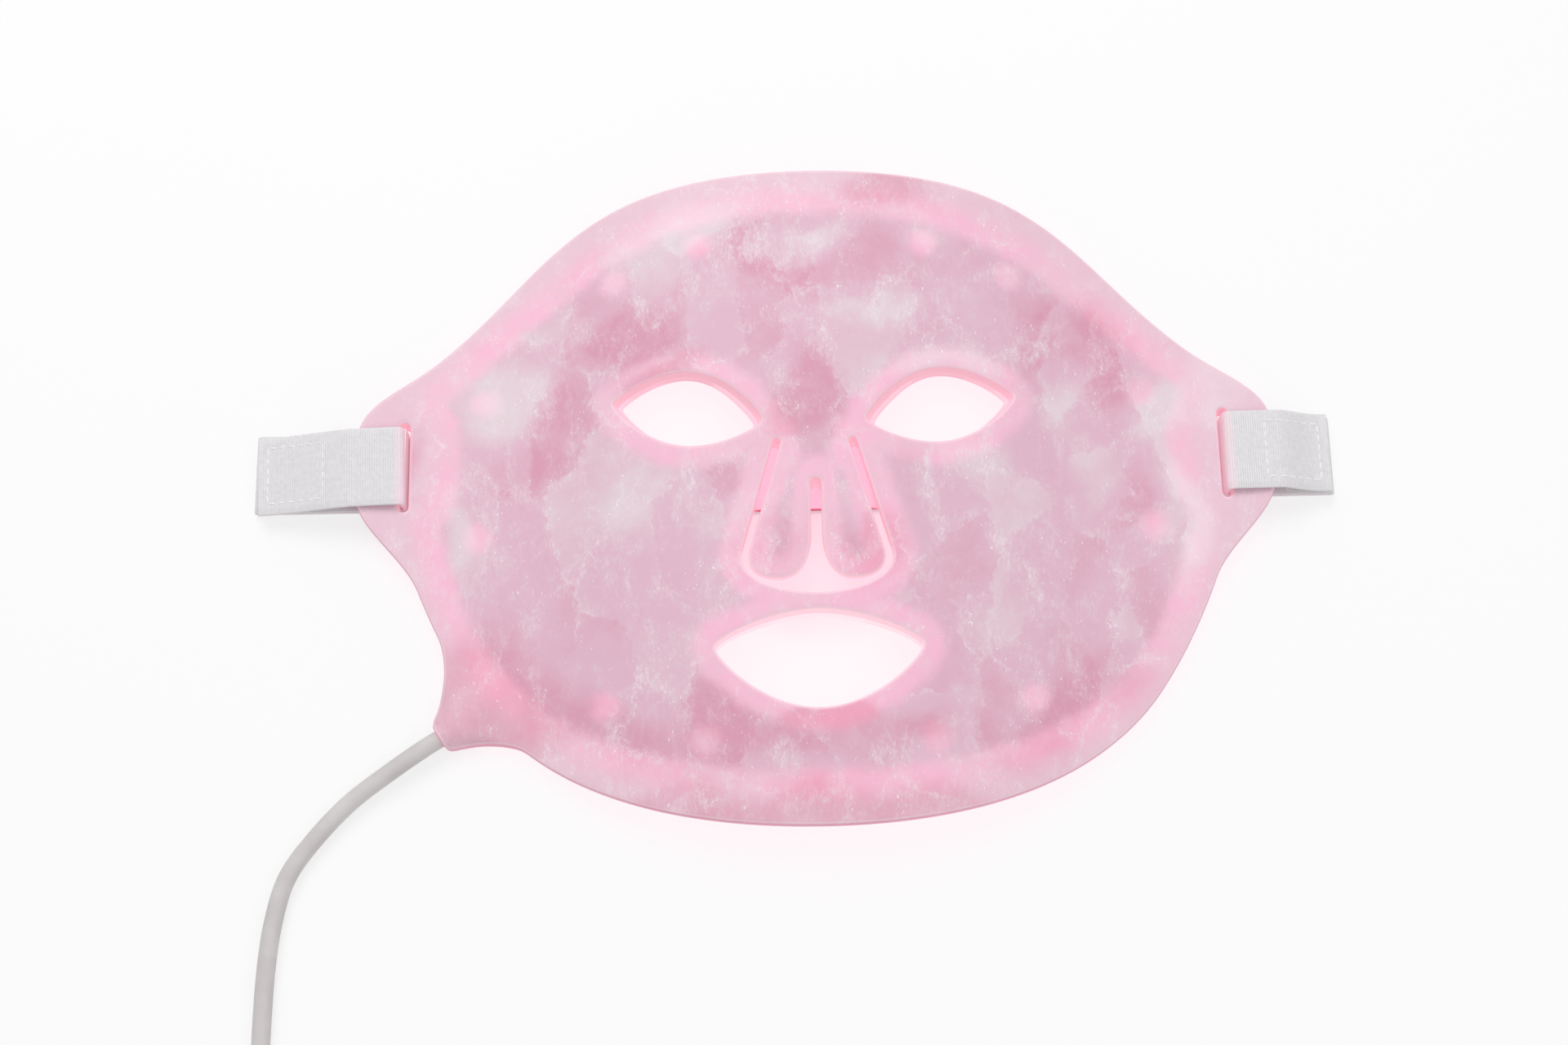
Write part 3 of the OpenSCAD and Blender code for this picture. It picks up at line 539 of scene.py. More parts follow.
# Patches of the marbling: plan position, half sizes, turn in degrees, and shade from rose to pale
PATCHES = [
    (-58, 50, 13, 8, 30, -1.0), (-22, 76, 14, 8, -20, -0.7), (-4, 30, 9, 16, 0, -0.9),
    (16, 72, 20, 12, 10, -0.5), (78, 47, 11, 15, 25, -0.9), (92, 44, 9, 14, 15, -0.6),
    (-92, 8, 15, 9, -20, -0.5), (-78, 26, 13, 8, 15, -0.4), (38, -4, 13, 20, 10, -0.2),
    (-58, -26, 26, 12, -15, -0.3), (8, -76, 18, 8, 0, -0.8), (-30, -74, 12, 9, 20, -0.3),
    (70, 4, 9, 14, 20, -0.4), (26, 96, 16, 8, -10, -0.8), (96, -6, 8, 12, -10, -0.5),
    (-5, 80, 18, 6, 15, 0.9), (-36, 90, 14, 8, 10, 0.7), (-95, 34, 16, 10, 35, 0.8),
    (-54, -4, 11, 10, 20, 0.2), (-50, 76, 18, 9, 25, 0.7), (51, 54, 12, 8, -30, 0.5),
    (62, 2, 18, 13, 30, 0.1), (42, 12, 20, 6, -10, 0.3), (84, 14, 10, 16, 10, 0.45),
    (22, 58, 16, 6, 20, 0.5), (108, 22, 7, 11, 10, 0.9), (-112, -8, 5, 11, 0, 0.6),
    (-70, -60, 16, 8, 30, 0.4), (60, -48, 14, 10, -30, 0.5), (-26, -8, 10, 8, 0, 0.4),
    (88, -40, 10, 14, -20, 0.4), (-20, 50, 16, 9, 10, -0.2), (40, 84, 9, 6, -30, 0.5),
    (4, -78, 36, 12, 0, -0.6), (-8, -99, 70, 8, 0, -0.8), (-102, -64, 24, 20, 0, -0.7),
    (1, 22, 9, 12, 0, -0.5), (42, 40, 20, 6, 0, 0.7), (76, -72, 30, 10, 35, -0.5),
    (-62, -74, 30, 10, -30, -0.5), (-112, 30, 16, 14, 0, 0.3), (124, 30, 12, 16, 0, 0.5),
    (15, -20, 11, 15, 10, -0.9), (-15, -20, 10, 15, -10, -0.45), (-48, 38, 13, 5, 15, -0.9),
    (9.5, -8, 3, 10, 5, 0.5), (-9.5, -8, 3, 10, -5, 0.3), (113, -10, 9, 18, 0, 0.9),
    (6, -74, 26, 6, 0, -0.5), (-128, 12, 8, 14, 0, -0.8),
]
# Whitish frosted streaks: plan position, half sizes, turn in degrees, and strength
STREAKS = [
    (-41, -1, 3.5, 13, -4, 1.0), (-103, 2, 3, 9, 0, 0.8), (-85, 31, 12, 10, 20, 0.6),
    (-30, 71, 8, 10, -15, 0.7), (-14, 79, 17, 8, 0, 0.6), (-55, 59, 11, 3.5, -35, 0.9),
    (38, -1, 5, 13, 6, 1.0), (61, -26, 4, 15, 25, 0.9), (69, 46, 9, 6, 30, 0.9),
    (109, 10, 4, 12, 5, 0.7), (74, -50, 3, 15, 30, 0.8), (-10, -81, 6, 6, 0, 0.8),
    (21, -79, 7, 4, 40, 0.8), (-103, -24, 6, 8, 0, 0.7), (33, 57, 13, 5, 30, 0.6),
    (-76, 12, 4, 12, -20, 0.6), (50, 20, 3, 10, 12, 0.6), (-30, -30, 4, 9, -25, 0.5),
]


BLOB_WARP = 3.0
BLOB_EDGE = (0.35, 1.5)


def blobs(p, shapes):
    """Sum of soft ovals over plan points, their edges made uneven."""
    total = np.zeros(len(p))
    x, y = p.T
    warped = p + BLOB_WARP * np.stack([np.sin(y / 7.3 + x / 19), np.sin(x / 6.1 - y / 17)], 1)
    for mid_x, mid_y, rx, ry, turn, value in shapes:
        q = rotated(warped - [mid_x, mid_y], -turn) / [rx, ry]
        total += value * fade(*BLOB_EDGE, np.sqrt((q**2).sum(1)))
    return np.clip(total, -1, 1)


# Plan mesh of the whole sheet: points along every edge, in the lamp pockets and on a grid
RINGS = (0.1, 0.3, 0.6, 1.0, 1.6)
POCKET_RINGS = (1.5, 2.4, 2.9)
BEND_LINE_STEP = 1.25
GRID = 2.0
ROW = GRID * 0.866
HALF_PLAN = (150, 110)
BRIDGE_POINTS, POCKET_SIDES = 17, 14
# How far rings stay off the bend lines, and grid points off lines, edge rings and pockets
RING_CLEAR, LINE_CLEAR, POCKET_CLEAR = 0.3, 0.8, 3.5
RING_SLACK = 0.97
LAMP_NODES = [z + k for z in ("", "left_", "right_") for k in ("red_lamps", "infrared_lamps")]
LAMP_NODES += ["nose_lamps"]
LAMP_SHIFT = [0.7, 0]
LAMP_APART = 5


def lamp_sites():
    """Plan positions of the lamp pockets, from the lamps themselves."""
    sites = []
    for name in LAMP_NODES:
        for v in frame["nodes"][name].data.vertices:
            p = np.array([v.co.x, v.co.y]) / MM
            for s in sites:
                if np.linalg.norm(s[0] / s[1] - p) < LAMP_APART:
                    s[0] += p
                    s[1] += 1
                    break
            else:
                sites.append([p, 1])
    return np.array([s[0] / s[1] for s in sites]) + LAMP_SHIFT


def plan_points(outer, holes, sites):
    """Points of the plan and the edges that the triangles have to keep."""
    loops = [outer, *holes]
    points, edges = [], []

    def add_line(line, closed=False):
        start = len(points)
        points.extend(line)
        edges.extend((start + i, start + i + 1) for i in range(len(line) - 1))
        if closed:
            edges.append((start + len(line) - 1, start))

    for k, loop in enumerate(loops):
        add_line(loop, True)
        tangent = np.roll(loop, -1, 0) - np.roll(loop, 1, 0)
        tangent /= np.linalg.norm(tangent, axis=1)[:, None]
        normal = np.stack([-tangent[:, 1], tangent[:, 0]], 1) * np.sign(signed_area(loop))
        normal = normal if k == 0 else -normal
        for d in RINGS:
            ring = loop + d * normal
            good = near_loop(ring, loops) > RING_SLACK * d
            good &= np.abs(np.abs(ring[:, 0]) - FLEX_X) > RING_CLEAR
            for run in np.split(np.arange(len(ring)), np.where(~good)[0]):
                run = run[good[run]]
                if len(run) > 1:
                    add_line(ring[run])
    for s in (-1, 1):
        y = np.arange(-HALF_PLAN[1], HALF_PLAN[1] + 0.1, BEND_LINE_STEP)
        add_line(np.stack([np.full_like(y, s * FLEX_X), y], 1))
    x = np.linspace(-BRIDGE_X, BRIDGE_X, BRIDGE_POINTS)
    add_line(np.stack([x, np.full_like(x, BRIDGE_Y)], 1))
    turn = np.linspace(0, 2 * math.pi, POCKET_SIDES, endpoint=False)
    for site in sites:
        points.append(site)
        for r in POCKET_RINGS:
            add_line(site + r * np.stack([np.cos(turn), np.sin(turn)], 1), True)
    across, up = (np.arange(-h, h, step) for h, step in zip(HALF_PLAN, (GRID, ROW)))
    gx, gy = np.meshgrid(across, up)
    gx = gx + (np.arange(gx.shape[0]) % 2)[:, None] * GRID / 2
    grid = np.stack([gx.ravel(), gy.ravel()], 1)
    away_x, away_y = np.abs(grid[:, 0]), np.abs(grid[:, 1] - BRIDGE_Y)
    keep = inside(grid, outer) & (near_loop(grid, loops) > RINGS[-1] + LINE_CLEAR)
    keep &= np.abs(away_x - FLEX_X) > LINE_CLEAR
    keep &= (away_y > LINE_CLEAR) | (away_x > BRIDGE_X + 1)
    keep &= np.linalg.norm(grid[:, None] - sites[None], axis=2).min(1) > POCKET_CLEAR
    points.extend(grid[keep])
    return points, edges


def plan_mesh(outer, holes, sites):
    """Triangles over the sheet's plan, cut along the bend lines."""
    points, edges = plan_points(outer, holes, sites)
    made = delaunay_2d_cdt([Vector(p) for p in points], edges, [], 0, 1e-4)
    verts = np.array([v[:] for v in made[0]])
    tris = np.array([f for f in made[2] if len(f) == 3])
    middle = verts[tris].mean(1)
    solid = inside(middle, outer)
    for hole in holes:
        solid &= ~inside(middle, hole)
    tris = tris[solid]
    a, b, c = (verts[tris[:, k]] for k in range(3))
    ab, ac = b - a, c - a
    area = ab[:, 0] * ac[:, 1] - ab[:, 1] * ac[:, 0]
    tris = np.where((area < 0)[:, None], tris[:, ::-1], tris)
    return verts, tris[np.abs(area) > 1e-7]


# Meshes
def new_object(name, mesh):
    obj = bpy.data.objects.new(name, mesh)
    scene.collection.objects.link(obj)
    return obj


def solid_mesh(name, co, faces, values=None, sharp=50):
    """A smooth closed mesh in metres, with its rest place and painted values kept per point."""
    mesh = bpy.data.meshes.new(name)
    mesh.from_pydata((np.asarray(co) * MM).tolist(), [], [list(map(int, f)) for f in faces])
    mesh.update()
    flat = (np.asarray(co, np.float32) * MM).ravel()
    mesh.attributes.new("rest", "FLOAT_VECTOR", "POINT").data.foreach_set("vector", flat)
    for key, data in (values or {}).items():
        layer = mesh.attributes.new(key, "FLOAT", "POINT")
        layer.data.foreach_set("value", np.asarray(data, np.float32))
    mesh.polygons.foreach_set("use_smooth", [True] * len(mesh.polygons))
    mesh.set_sharp_from_angle(angle=math.radians(sharp))
    return new_object(name, mesh)


def loft_faces(rings, sides, first=0):
    """Faces of a closed body of rings with equally many points, its two ends included."""
    faces = []
    for a in range(first, first + (rings - 1) * sides, sides):
        b = a + sides
        for k in range(sides):
            m = (k + 1) % sides
            faces.append((a + k, a + m, b + m, b + k))
    last = first + (rings - 1) * sides
    faces.append(tuple(range(first, first + sides))[::-1])
    faces.append(tuple(range(last, last + sides)))
    return faces


# Sheets: neck, leaning walls of the openings, and the two layers of every area
SLOT_TOP = SLOT_Y + SLOT_L / 2
# Tops of the nose slits and strap slots, and how far the rear face reaches into each
SLIT_TIPS = [(-12.3, 14.3, -0.6, -1.9), (12.3, 14.3, 0.6, -1.9), (0.0, 1.9, 0.0, -2.0)]
SLIT_TIPS += [(side * SLOT_X, SLOT_TOP, 0.0, -1.3) for side in (-1, 1)]
# Outward run in x, lift in y and outward run in y of a face at the walls of an opening
EYE_FRONT_LEAN = (0.5, 0.4, 0.0)
EYE_REAR_LEAN = (-2.2, -0.55, -0.55)
MOUTH_REAR_LEAN = (-0.5, -0.9, -0.9)
LEAN_REACH = 6.5
SLIT_REACH = (1.0, 5.0)
# Rounding of the sheet's two edges, and of both round the neck's end
TOP_EDGE_R, LOW_EDGE_R, NECK_EDGE_R = 1.1, 0.8, 4.9
# Neck, in the boss's frame: where it swells and where its edge gets round, outwards and across
NECK_SWELL = ((-38, -10), (10, 22))
NECK_ROUND = ((-20, -3), (8, 14))
NECK_SPREAD = 9.0
NECK_LIP, NECK_LIP_R = 0.7, 0.8
# Least thickness of the front sheet over the board, and of the rear sheet
LEAST_FRONT, LEAST_REAR = 0.35, 0.3
# Recess for the board and pockets for the lamps: depth, and where each starts and is whole
RECESS, RECESS_EDGE, RECESS_RIM = 0.4, (-3.0, -2.2), (0.8, 1.6)
POCKET_DEPTH, POCKET_R = 0.95, (2.45, 2.85)
DIMPLE, DIMPLE_R = 0.3, (1.4, 2.95)
# Painted values: edges of the board's shade, its fingers, the painted light round it and the windows
SHADE_EDGE, FINGER_EDGE, FINGER_SHARE = (-2.6, 2.2), (-1.6, 1.9), 0.85
GLOW_EDGE = (-13.0, -4.5)
WINDOW_R = (1.3, 2.7)
# Paler painted light on the walls at the mouth and, less so, below the nose flap
PALE_REACH, FOOT_Y, FOOT_SHARE = (2.0, 6.0), (-17, -25), 0.7
# How far the painted light on the walls and the painted shade on the rim reach from the edge, on a layer's upper and
# lower face
WALL_TOP, WALL_LOW = (0.05, 0.5), (0.0, 0.05)


def fillet(d, r):
    t = np.clip(d / r, 0, 1)
    return np.sqrt(1 - (1 - t) ** 2)


def sheet_heights(p, d):
    """Heights of the front and wearer's-side faces over the wearer's-side datum, with the neck."""
    mid = SHEET_T / 2
    u, v = boss_local(p).T
    swell, tip = (
        smoothstep(*out, u) * fade(*across, np.abs(v)) for out, across in (NECK_SWELL, NECK_ROUND)
    )
    half = mid + (BOSS_R - mid) * swell * np.exp(-((v / NECK_SPREAD) ** 2))
    half = half - NECK_LIP * tip * (1 - fillet(np.maximum(-u, 0), NECK_LIP_R))
    top_r, low_r = (r + (NECK_EDGE_R - r) * tip for r in (TOP_EDGE_R, LOW_EDGE_R))
    top_z, low_z = (r + (half - r) * tip for r in (TOP_EDGE_R, LOW_EDGE_R))
    top = mid + half - top_z + top_z * fillet(d, top_r)
    low = mid - half + low_z - low_z * fillet(d, low_r)
    return np.maximum(top, BOARD_H + LEAST_FRONT), np.minimum(low, REAR_T - LEAST_REAR)


def opening_lean(p, eyes, mouth):
    """Plan shifts of the front and wearer's-side faces that slope the walls of the openings."""
    front, rear = np.zeros_like(p), np.zeros_like(p)
    for x, y, run_x, run_y in SLIT_TIPS:
        near = fade(*SLIT_REACH, np.hypot(p[:, 0] - x, p[:, 1] - y))
        rear += near[:, None] * np.array([run_x, run_y])
    leans = [(eye, front, EYE_FRONT_LEAN) for eye in eyes]
    leans += [(eye, rear, EYE_REAR_LEAN) for eye in eyes] + [(mouth, rear, MOUTH_REAR_LEAN)]
    for hole, shift, (out_x, lift_y, out_y) in leans:
        near = fade(0.0, LEAN_REACH, near_loop(p, [hole]))
        way = (p - (hole.max(0) + hole.min(0)) / 2) / (hole.max(0) - hole.min(0))
        way /= np.maximum(np.linalg.norm(way, axis=1), 1e-9)[:, None]
        shift += near[:, None] * np.stack([out_x * way[:, 0], lift_y + out_y * way[:, 1]], 1)
    return front, rear


def layer_piece(name, tris, xy, top, low, values, top_shift, low_shift):
    """Closed solid between two height fields over the same triangles."""
    used, index = np.unique(tris, return_inverse=True)
    t = index.reshape(-1, 3)
    n = len(used)
    p, q = xy[used] + top_shift[used], xy[used] + low_shift[used]
    upper = np.column_stack([p, sheet_z(p[:, 0], top[used])])
    lower = np.column_stack([q, np.maximum(sheet_z(q[:, 0], low[used]), 0.0)])
    directed = np.vstack([t[:, [0, 1]], t[:, [1, 2]], t[:, [2, 0]]])
    seen = {(a, b) for a, b in directed.tolist()}
    rim = [(a, b) for a, b in seen if (b, a) not in seen]
    walls = [(a + n, b + n, b, a) for a, b in sorted(rim)]
    faces = [*map(tuple, t.tolist()), *map(tuple, (t[:, ::-1] + n).tolist()), *walls]
    both = {k: np.concatenate([v[0][used], v[1][used]]) for k, v in values.items()}
    return solid_mesh(name, np.vstack([upper, lower]), faces, both)


def side_distance(xy, outer):
    """Distance to the outer edge without the neck's end face, where the lead comes out."""
    u, v = boss_local(outer).T
    at_end = (np.abs(u) < 0.3) & (np.abs(v) < 5.5)
    start = int(np.where(at_end)[0].min())
    line = np.roll(outer, -start, 0)[~np.roll(at_end, -start)]
    return segment_distance(xy, line[:-1], line[1:])


def build_sheets():
    """Front and wearer's-side layers of every area, by the node that each replaces."""
    outer, holes, flap = plan_loops()
    eyes, mouth, nose = holes[:2], holes[2], holes[3]
    sites = lamp_sites()
    xy, tris = plan_mesh(outer, holes, sites)
    side_d, hole_d = side_distance(xy, outer), near_loop(xy, holes)
    true_d = np.minimum(near_loop(xy, [outer]), hole_d)
    site_d = np.linalg.norm(xy[:, None] - sites[None], axis=2).min(1)
    shown, depth = board_depth(xy, holes[:4])
    top, low = sheet_heights(xy, np.minimum(side_d, hole_d))
    recess = smoothstep(*RECESS_EDGE, depth) * smoothstep(*RECESS_RIM, true_d)
    front_low = BOARD_H + RECESS * recess
    rear_top = REAR_T - POCKET_DEPTH * fade(*POCKET_R, site_d)
    low = low + DIMPLE * fade(*DIMPLE_R, site_d)

    finger = smoothstep(*FINGER_EDGE, finger_depth(xy, *FINGER_SHADE))
    board = np.maximum(smoothstep(*SHADE_EDGE, shown), FINGER_SHARE * finger)
    # Mask of the painted light that shows round the board
    glow = smoothstep(*GLOW_EDGE, shown)
    by_mouth, by_nose = (fade(*PALE_REACH, near_loop(xy, [hole])) for hole in (mouth, nose))
    pale = np.maximum(by_mouth, FOOT_SHARE * by_nose * smoothstep(*FOOT_Y, xy[:, 1]))
    tone, frost = blobs(xy, PATCHES), blobs(xy, STREAKS)
    is_hole = (hole_d < side_d).astype(float)
    none = np.zeros(len(xy))
    # Masks by the edge: painted light on the walls of the openings, painted shade on the outer rim
    wall = tuple(fade(*reach, true_d) * is_hole for reach in (WALL_TOP, WALL_LOW))
    rim = tuple(fade(*reach, true_d) * (1 - is_hole) for reach in (WALL_TOP, WALL_LOW))
    shared = {"board": (board, board), "pale": (pale, pale)}
    front = {"tone": (tone, tone), "frost": (frost, frost), "glow": (glow, glow)}
    front |= shared | {"edge": (true_d, none), "wall": wall, "rim": rim}
    rear = shared | {"wall": wall[::-1], "rim": rim[::-1]}
    rear["lamp"] = none, fade(*WINDOW_R, site_d)

    front_shift, rear_shift = opening_lean(xy, eyes, mouth)
    mid_shift = (front_shift + rear_shift) / 2
    middle = xy[tris].mean(1)
    zones = {"left_": middle[:, 0] < -FLEX_X, "right_": middle[:, 0] > FLEX_X}
    zones["nose_"] = inside(middle, flap)
    zones[""] = ~(zones["left_"] | zones["right_"] | zones["nose_"])
    made = {}
    for zone, mask in zones.items():
        made[zone + "front_skin"] = layer_piece(
            zone + "front_sheet", tris[mask], xy, top, front_low, front, front_shift, mid_shift
        )
        made[zone + "rear_skin"] = layer_piece(
            zone + "rear_sheet", tris[mask], xy, rear_top, low, rear, mid_shift, rear_shift
        )
    return made


# Lead and coil
def catmull(points, steps):
    p = [np.asarray(q, float) for q in points]
    out = []
    for i in range(1, len(p) - 2):
        a, b, c, e = p[i - 1 : i + 3]
        square, cube = 2 * a - 5 * b + 4 * c - e, 3 * b - a - 3 * c + e
        for k in range(steps):
            t = k / steps
            out.append(0.5 * (2 * b + (c - a) * t + square * t**2 + cube * t**3))
    return out + [p[-2]]


def lead_points():
    way = np.array([*polar(1, BOSS_ANGLE), 0])
    start = np.array([*BOSS_END, float(rise(BOSS_END[0])) + SHEET_T / 2])
    route = [
        (-129, -83, 4.4), (-142, -92.5, 3.2), (-153, -104, LEAD_Z), (-160.5, -115, LEAD_Z),
        (-164, -128, LEAD_Z), (-165.5, -142, LEAD_Z), (COIL_X, -158, LEAD_Z),
        (COIL_X, -172, LEAD_Z), (COIL_X, -186, COIL_Z), (COIL_X, -192, COIL_Z),
        (COIL_X, -198, COIL_Z),
    ]
    return catmull([start - CORD_D * way, start, start + CORD_D * way, *route], 8)


def coil_point(t):
    """A point of the coil: wound inwards, raised over half a turn, wound outwards on top."""
    if t < COIL_TURNS:
        r = COIL_OUT - COIL_PITCH * t
    elif t < COIL_TURNS + CROSS_TURN:
        r = COIL_R - CROSS_DIP * math.sin(math.pi * (t - COIL_TURNS) / CROSS_TURN)
    else:
        r = COIL_R + COIL_PITCH * (t - COIL_TURNS - CROSS_TURN)
    up = float(smoothstep(0, 1, np.array((t - COIL_TURNS) / CROSS_TURN)))
    a = math.pi + 2 * math.pi * t
    x, y = COIL_MID[0] + r * math.cos(a), COIL_MID[1] + r * math.sin(a)
    return np.array([x, y, COIL_Z + COIL_PITCH * up])


def cord_points():
    turns = 2 * COIL_TURNS + CROSS_TURN
    ring = [coil_point(t) for t in np.linspace(0, turns, int(turns * COIL_STEPS) + 1)]
    last = ring[-1]
    drop = PLUG_Z - last[2]
    steps = ([12, 0, 0], [26, 0, -1.6], [38, 0, drop + 0.6], [46.5, 0, drop], [52, 0, drop])
    tail = [last + v for v in steps]
    smooth_tail = catmull([ring[-4], last, *tail, tail[-1] + [6, 0, 0]], 6)
    join = [(COIL_X, -197.5, COIL_Z), (COIL_X, -206, COIL_Z)]
    return np.array([*lead_points(), *join, *ring[:-1], *smooth_tail])


def tube_mesh(name, path, radius, sides):
    """A round tube along a path with closed ends."""
    ahead = np.vstack([path[1:], path[-1:]]) - np.vstack([path[:1], path[:-1]])
    ahead /= np.linalg.norm(ahead, axis=1)[:, None]
    side = np.cross(ahead, [0, 0, 1.0])
    side /= np.linalg.norm(side, axis=1)[:, None]
    up = np.cross(side, ahead)
    turn = np.linspace(0, 2 * math.pi, sides, endpoint=False)[None, :, None]
    ring = np.cos(turn) * side[:, None] + np.sin(turn) * up[:, None]
    co = (path[:, None] + radius * ring).reshape(-1, 3)
    return solid_mesh(name, co, loft_faces(len(path), sides), sharp=60)


# Webbing, in the strap's own plane: u outwards from the slot, and height
RIBBON_R = 1.6
SLOT_U = 0.3
BAND_Z = STRAP_T / 2
PLY = 0.3
BACK_Z = BAND_Z + STRAP_T + PLY
TAB_FRONT = float(rise(SLOT_X)) + SHEET_T
TAB_CLEAR = 0.6
TURN_Z = TAB_FRONT + TAB_CLEAR
EDGE_Z = TURN_Z + TAB_SLOPE * (TAB_X - SLOT_X) + STRAP_T / 2
TAPE_T = 0.9
TAPE_W = STRAP_W - 3
TAPE_GAP, HOOK_GAP = 0.15, 0.05
END_Z = BACK_Z + STRAP_T + 2 * TAPE_T + TAPE_GAP
CREST_U = 2.4
DROP_U = 16.0
FOLD_U = 0.4
BAND_W = 21.0
BAND_SAG = 3.9
BAND_NARROW_X = 55.0
BAND_WIDE_X = 105.0
BAND_SPLIT_X = 30.0
RIB_PITCH = 0.7
BAND_STEP = 0.233
# Pitch and height of the ribs, and the length of a mesh step
PILE_WEAVE = {"pitch": 0.5, "rib": 0.1, "step": 0.16}
HOOK_WEAVE = {"pitch": 0.9, "rib": 0.12, "step": 0.2}
TIE_WEAVE = {"pitch": 0.9, "rib": 0.06, "step": 0.225}
# Where the loop tape, the hook tape and the stitched box start and end on a strap end
PILE_START, HOOK_START, TAPE_MARGIN = DROP_U + 3, DROP_U + 1, 1
SEAM_HALF_W = 9
SEAM_STARTS = {"left_": 25.0, "right_": 12.0}
SEAM_MARGIN = 3.0
# Where a strap end starts to peel and follows fully: outwards from the slot, and up
PEEL_START, PEEL_END = (0.3, TAB_FRONT + 0.25), (1.5, TURN_Z + 1.9)


def loop_line(length):
    """Centre line of the webbing that comes from behind, round the end and up into the slot."""
    fold = arc([length + FOLD_U, (BAND_Z + BACK_Z) / 2], (BACK_Z - BAND_Z) / 2, -90, 90)
    bend = arc([SLOT_U + RIBBON_R, BACK_Z + RIBBON_R], RIBBON_R, 270, 180)
    return np.array([[length + 0.1, BAND_Z], *fold, *bend, [SLOT_U, TAB_FRONT + 0.2]])


def flap_line(length):
    """Centre line of a strap end, from the slot over the tab's edge to its flat tip."""
    tip = length - 2
    fall = (EDGE_Z - END_Z) / (tip - DROP_U)
    crest = TURN_Z + RIBBON_R
    over = [CREST_U, crest], [6.3, crest + 0.2], [DROP_U - 4, EDGE_Z - 0.2], [DROP_U, EDGE_Z]
    down = [DROP_U + 5, EDGE_Z - 2 * fall], [tip - 7, END_Z + 2 * fall], [tip, END_Z]
    return np.vstack(
        [
            [[SLOT_U, TAB_FRONT + 0.1]],
            arc([SLOT_U + RIBBON_R, TURN_Z], RIBBON_R, 180, 90),
            cubic(*over, 24),
            cubic(over[-1], *down, 24),
            [[tip, END_Z], [length, END_Z]],
        ]
    )


def strap_place(side, turn=0.0):
    """A function that puts points (u outwards, across, up) of a strap at a slot of the mask."""

    def place(points):
        return rotated(np.asarray(points, float) * [side, 1, 1], turn) + [side * SLOT_X, SLOT_Y, 0]

    return place


def band_place(side):
    """As strap_place, narrower and lower towards the middle: the band behind the mask."""
    straight = strap_place(side)

    def place(points):
        x, y, z = straight(points).T
        share = smoothstep(BAND_NARROW_X, BAND_WIDE_X, np.abs(x))
        width = (BAND_W + (STRAP_W - BAND_W) * share) / STRAP_W
        return np.stack([x, SLOT_Y + (y - SLOT_Y) * width - BAND_SAG * (1 - share), z], 1)

    return place


def ribbon_mesh(
    name, line, width, thick, place, mirrored, pitch=RIB_PITCH, rib=0.05, step=0.175, shift=0.0
):
    """Woven tape along a line: rounded edges and cross ribs as real relief."""
    soft, bulge, flats = 0.3, 0.06, 13
    line = resample(np.asarray(line, float), step, closed=False)
    n = len(line)
    ahead = np.vstack([line[1:], line[-1:]]) - np.vstack([line[:1], line[:-1]])
    ahead /= np.linalg.norm(ahead, axis=1)[:, None]
    up = np.stack([-ahead[:, 1], ahead[:, 0]], 1)
    line = line + shift * up
    along = np.arange(n) * step
    half_w, half_t = width / 2, thick / 2
    flat = np.linspace(-1, 1, flats) * (half_w - soft)
    across = np.concatenate([flat, [half_w - soft * 0.3, half_w, half_w - soft * 0.3]])
    across = np.concatenate([across, -across])
    height = np.concatenate([np.ones(flats), [0.72, 0.0, -0.72]])
    height = np.concatenate([height, -height])
    wave = 0.5 - 0.5 * np.cos(2 * math.pi * along / pitch)
    wave = (wave * smoothstep(0, 1.0, along) * smoothstep(0, 1.0, along[-1] - along))[:, None]
    edge = np.abs(height) < 0.8
    h = height[None] * half_t - rib * wave * np.sign(height)[None] * (~edge)[None]
    a = across[None] + np.where(edge, np.sign(across), 0)[None] * bulge * wave
    u = line[:, None, 0] + h * up[:, None, 0]
    z = line[:, None, 1] + h * up[:, None, 1]
    m = len(across)
    faces = [f[:1] + f[:0:-1] for f in loft_faces(n, m)]
    if mirrored:
        faces = [f[::-1] for f in faces]
    weave = {
        "face": np.tile(np.sign(height), n),
        "along": np.repeat(along, m),
        "across": np.tile(across, n),
    }
    return solid_mesh(name, place(np.stack([u, a, z], 2).reshape(-1, 3)), faces, weave, 45)


def stitch_mesh(name, runs, length=2.3, gap=0.7, radius=0.22):
    """Short raised threads along lines in the mask's frame."""
    co, faces = [], []
    sides, rings, lift, sink = 6, 7, 0.16, 0.12
    s = np.linspace(-1, 1, rings)
    r = radius * np.sqrt(np.clip(1 - s**6, 0.05, 1))
    for run in runs:
        run = resample(np.asarray(run, float), 0.1, closed=False)
        size = run_lengths(run)
        count = max(1, int(size[-1] // (length + gap)))
        pace = size[-1] / count
        for c in range(count):
            at = np.linspace(c * pace + gap / 2, (c + 1) * pace - gap / 2, rings)
            path = np.stack([np.interp(at, size, run[:, k]) for k in range(3)], 1)
            path[:, 2] += lift * (1 - s**4) - sink
            d = path[-1] - path[0]
            d /= np.linalg.norm(d)
            w = np.cross(d, [0, 0, 1.0])
            w /= np.linalg.norm(w)
            v = np.cross(w, d)
            faces += loft_faces(rings, sides, len(co))
            for i in range(rings):
                for k in range(sides):
                    a = 2 * math.pi * k / sides
                    co.append(path[i] + r[i] * (math.cos(a) * w + math.sin(a) * v))
    return solid_mesh(name, np.array(co), faces, None, 60)


# Materials
def rgb(r, g, b):
    """An sRGB colour, 0 to 255, as linear values."""
    c = [v / 255 for v in (r, g, b)]
    return tuple(v / 12.92 if v <= 0.04045 else ((v + 0.055) / 1.055) ** 2.4 for v in c) + (1.0,)


BLACK = rgb(0, 0, 0)


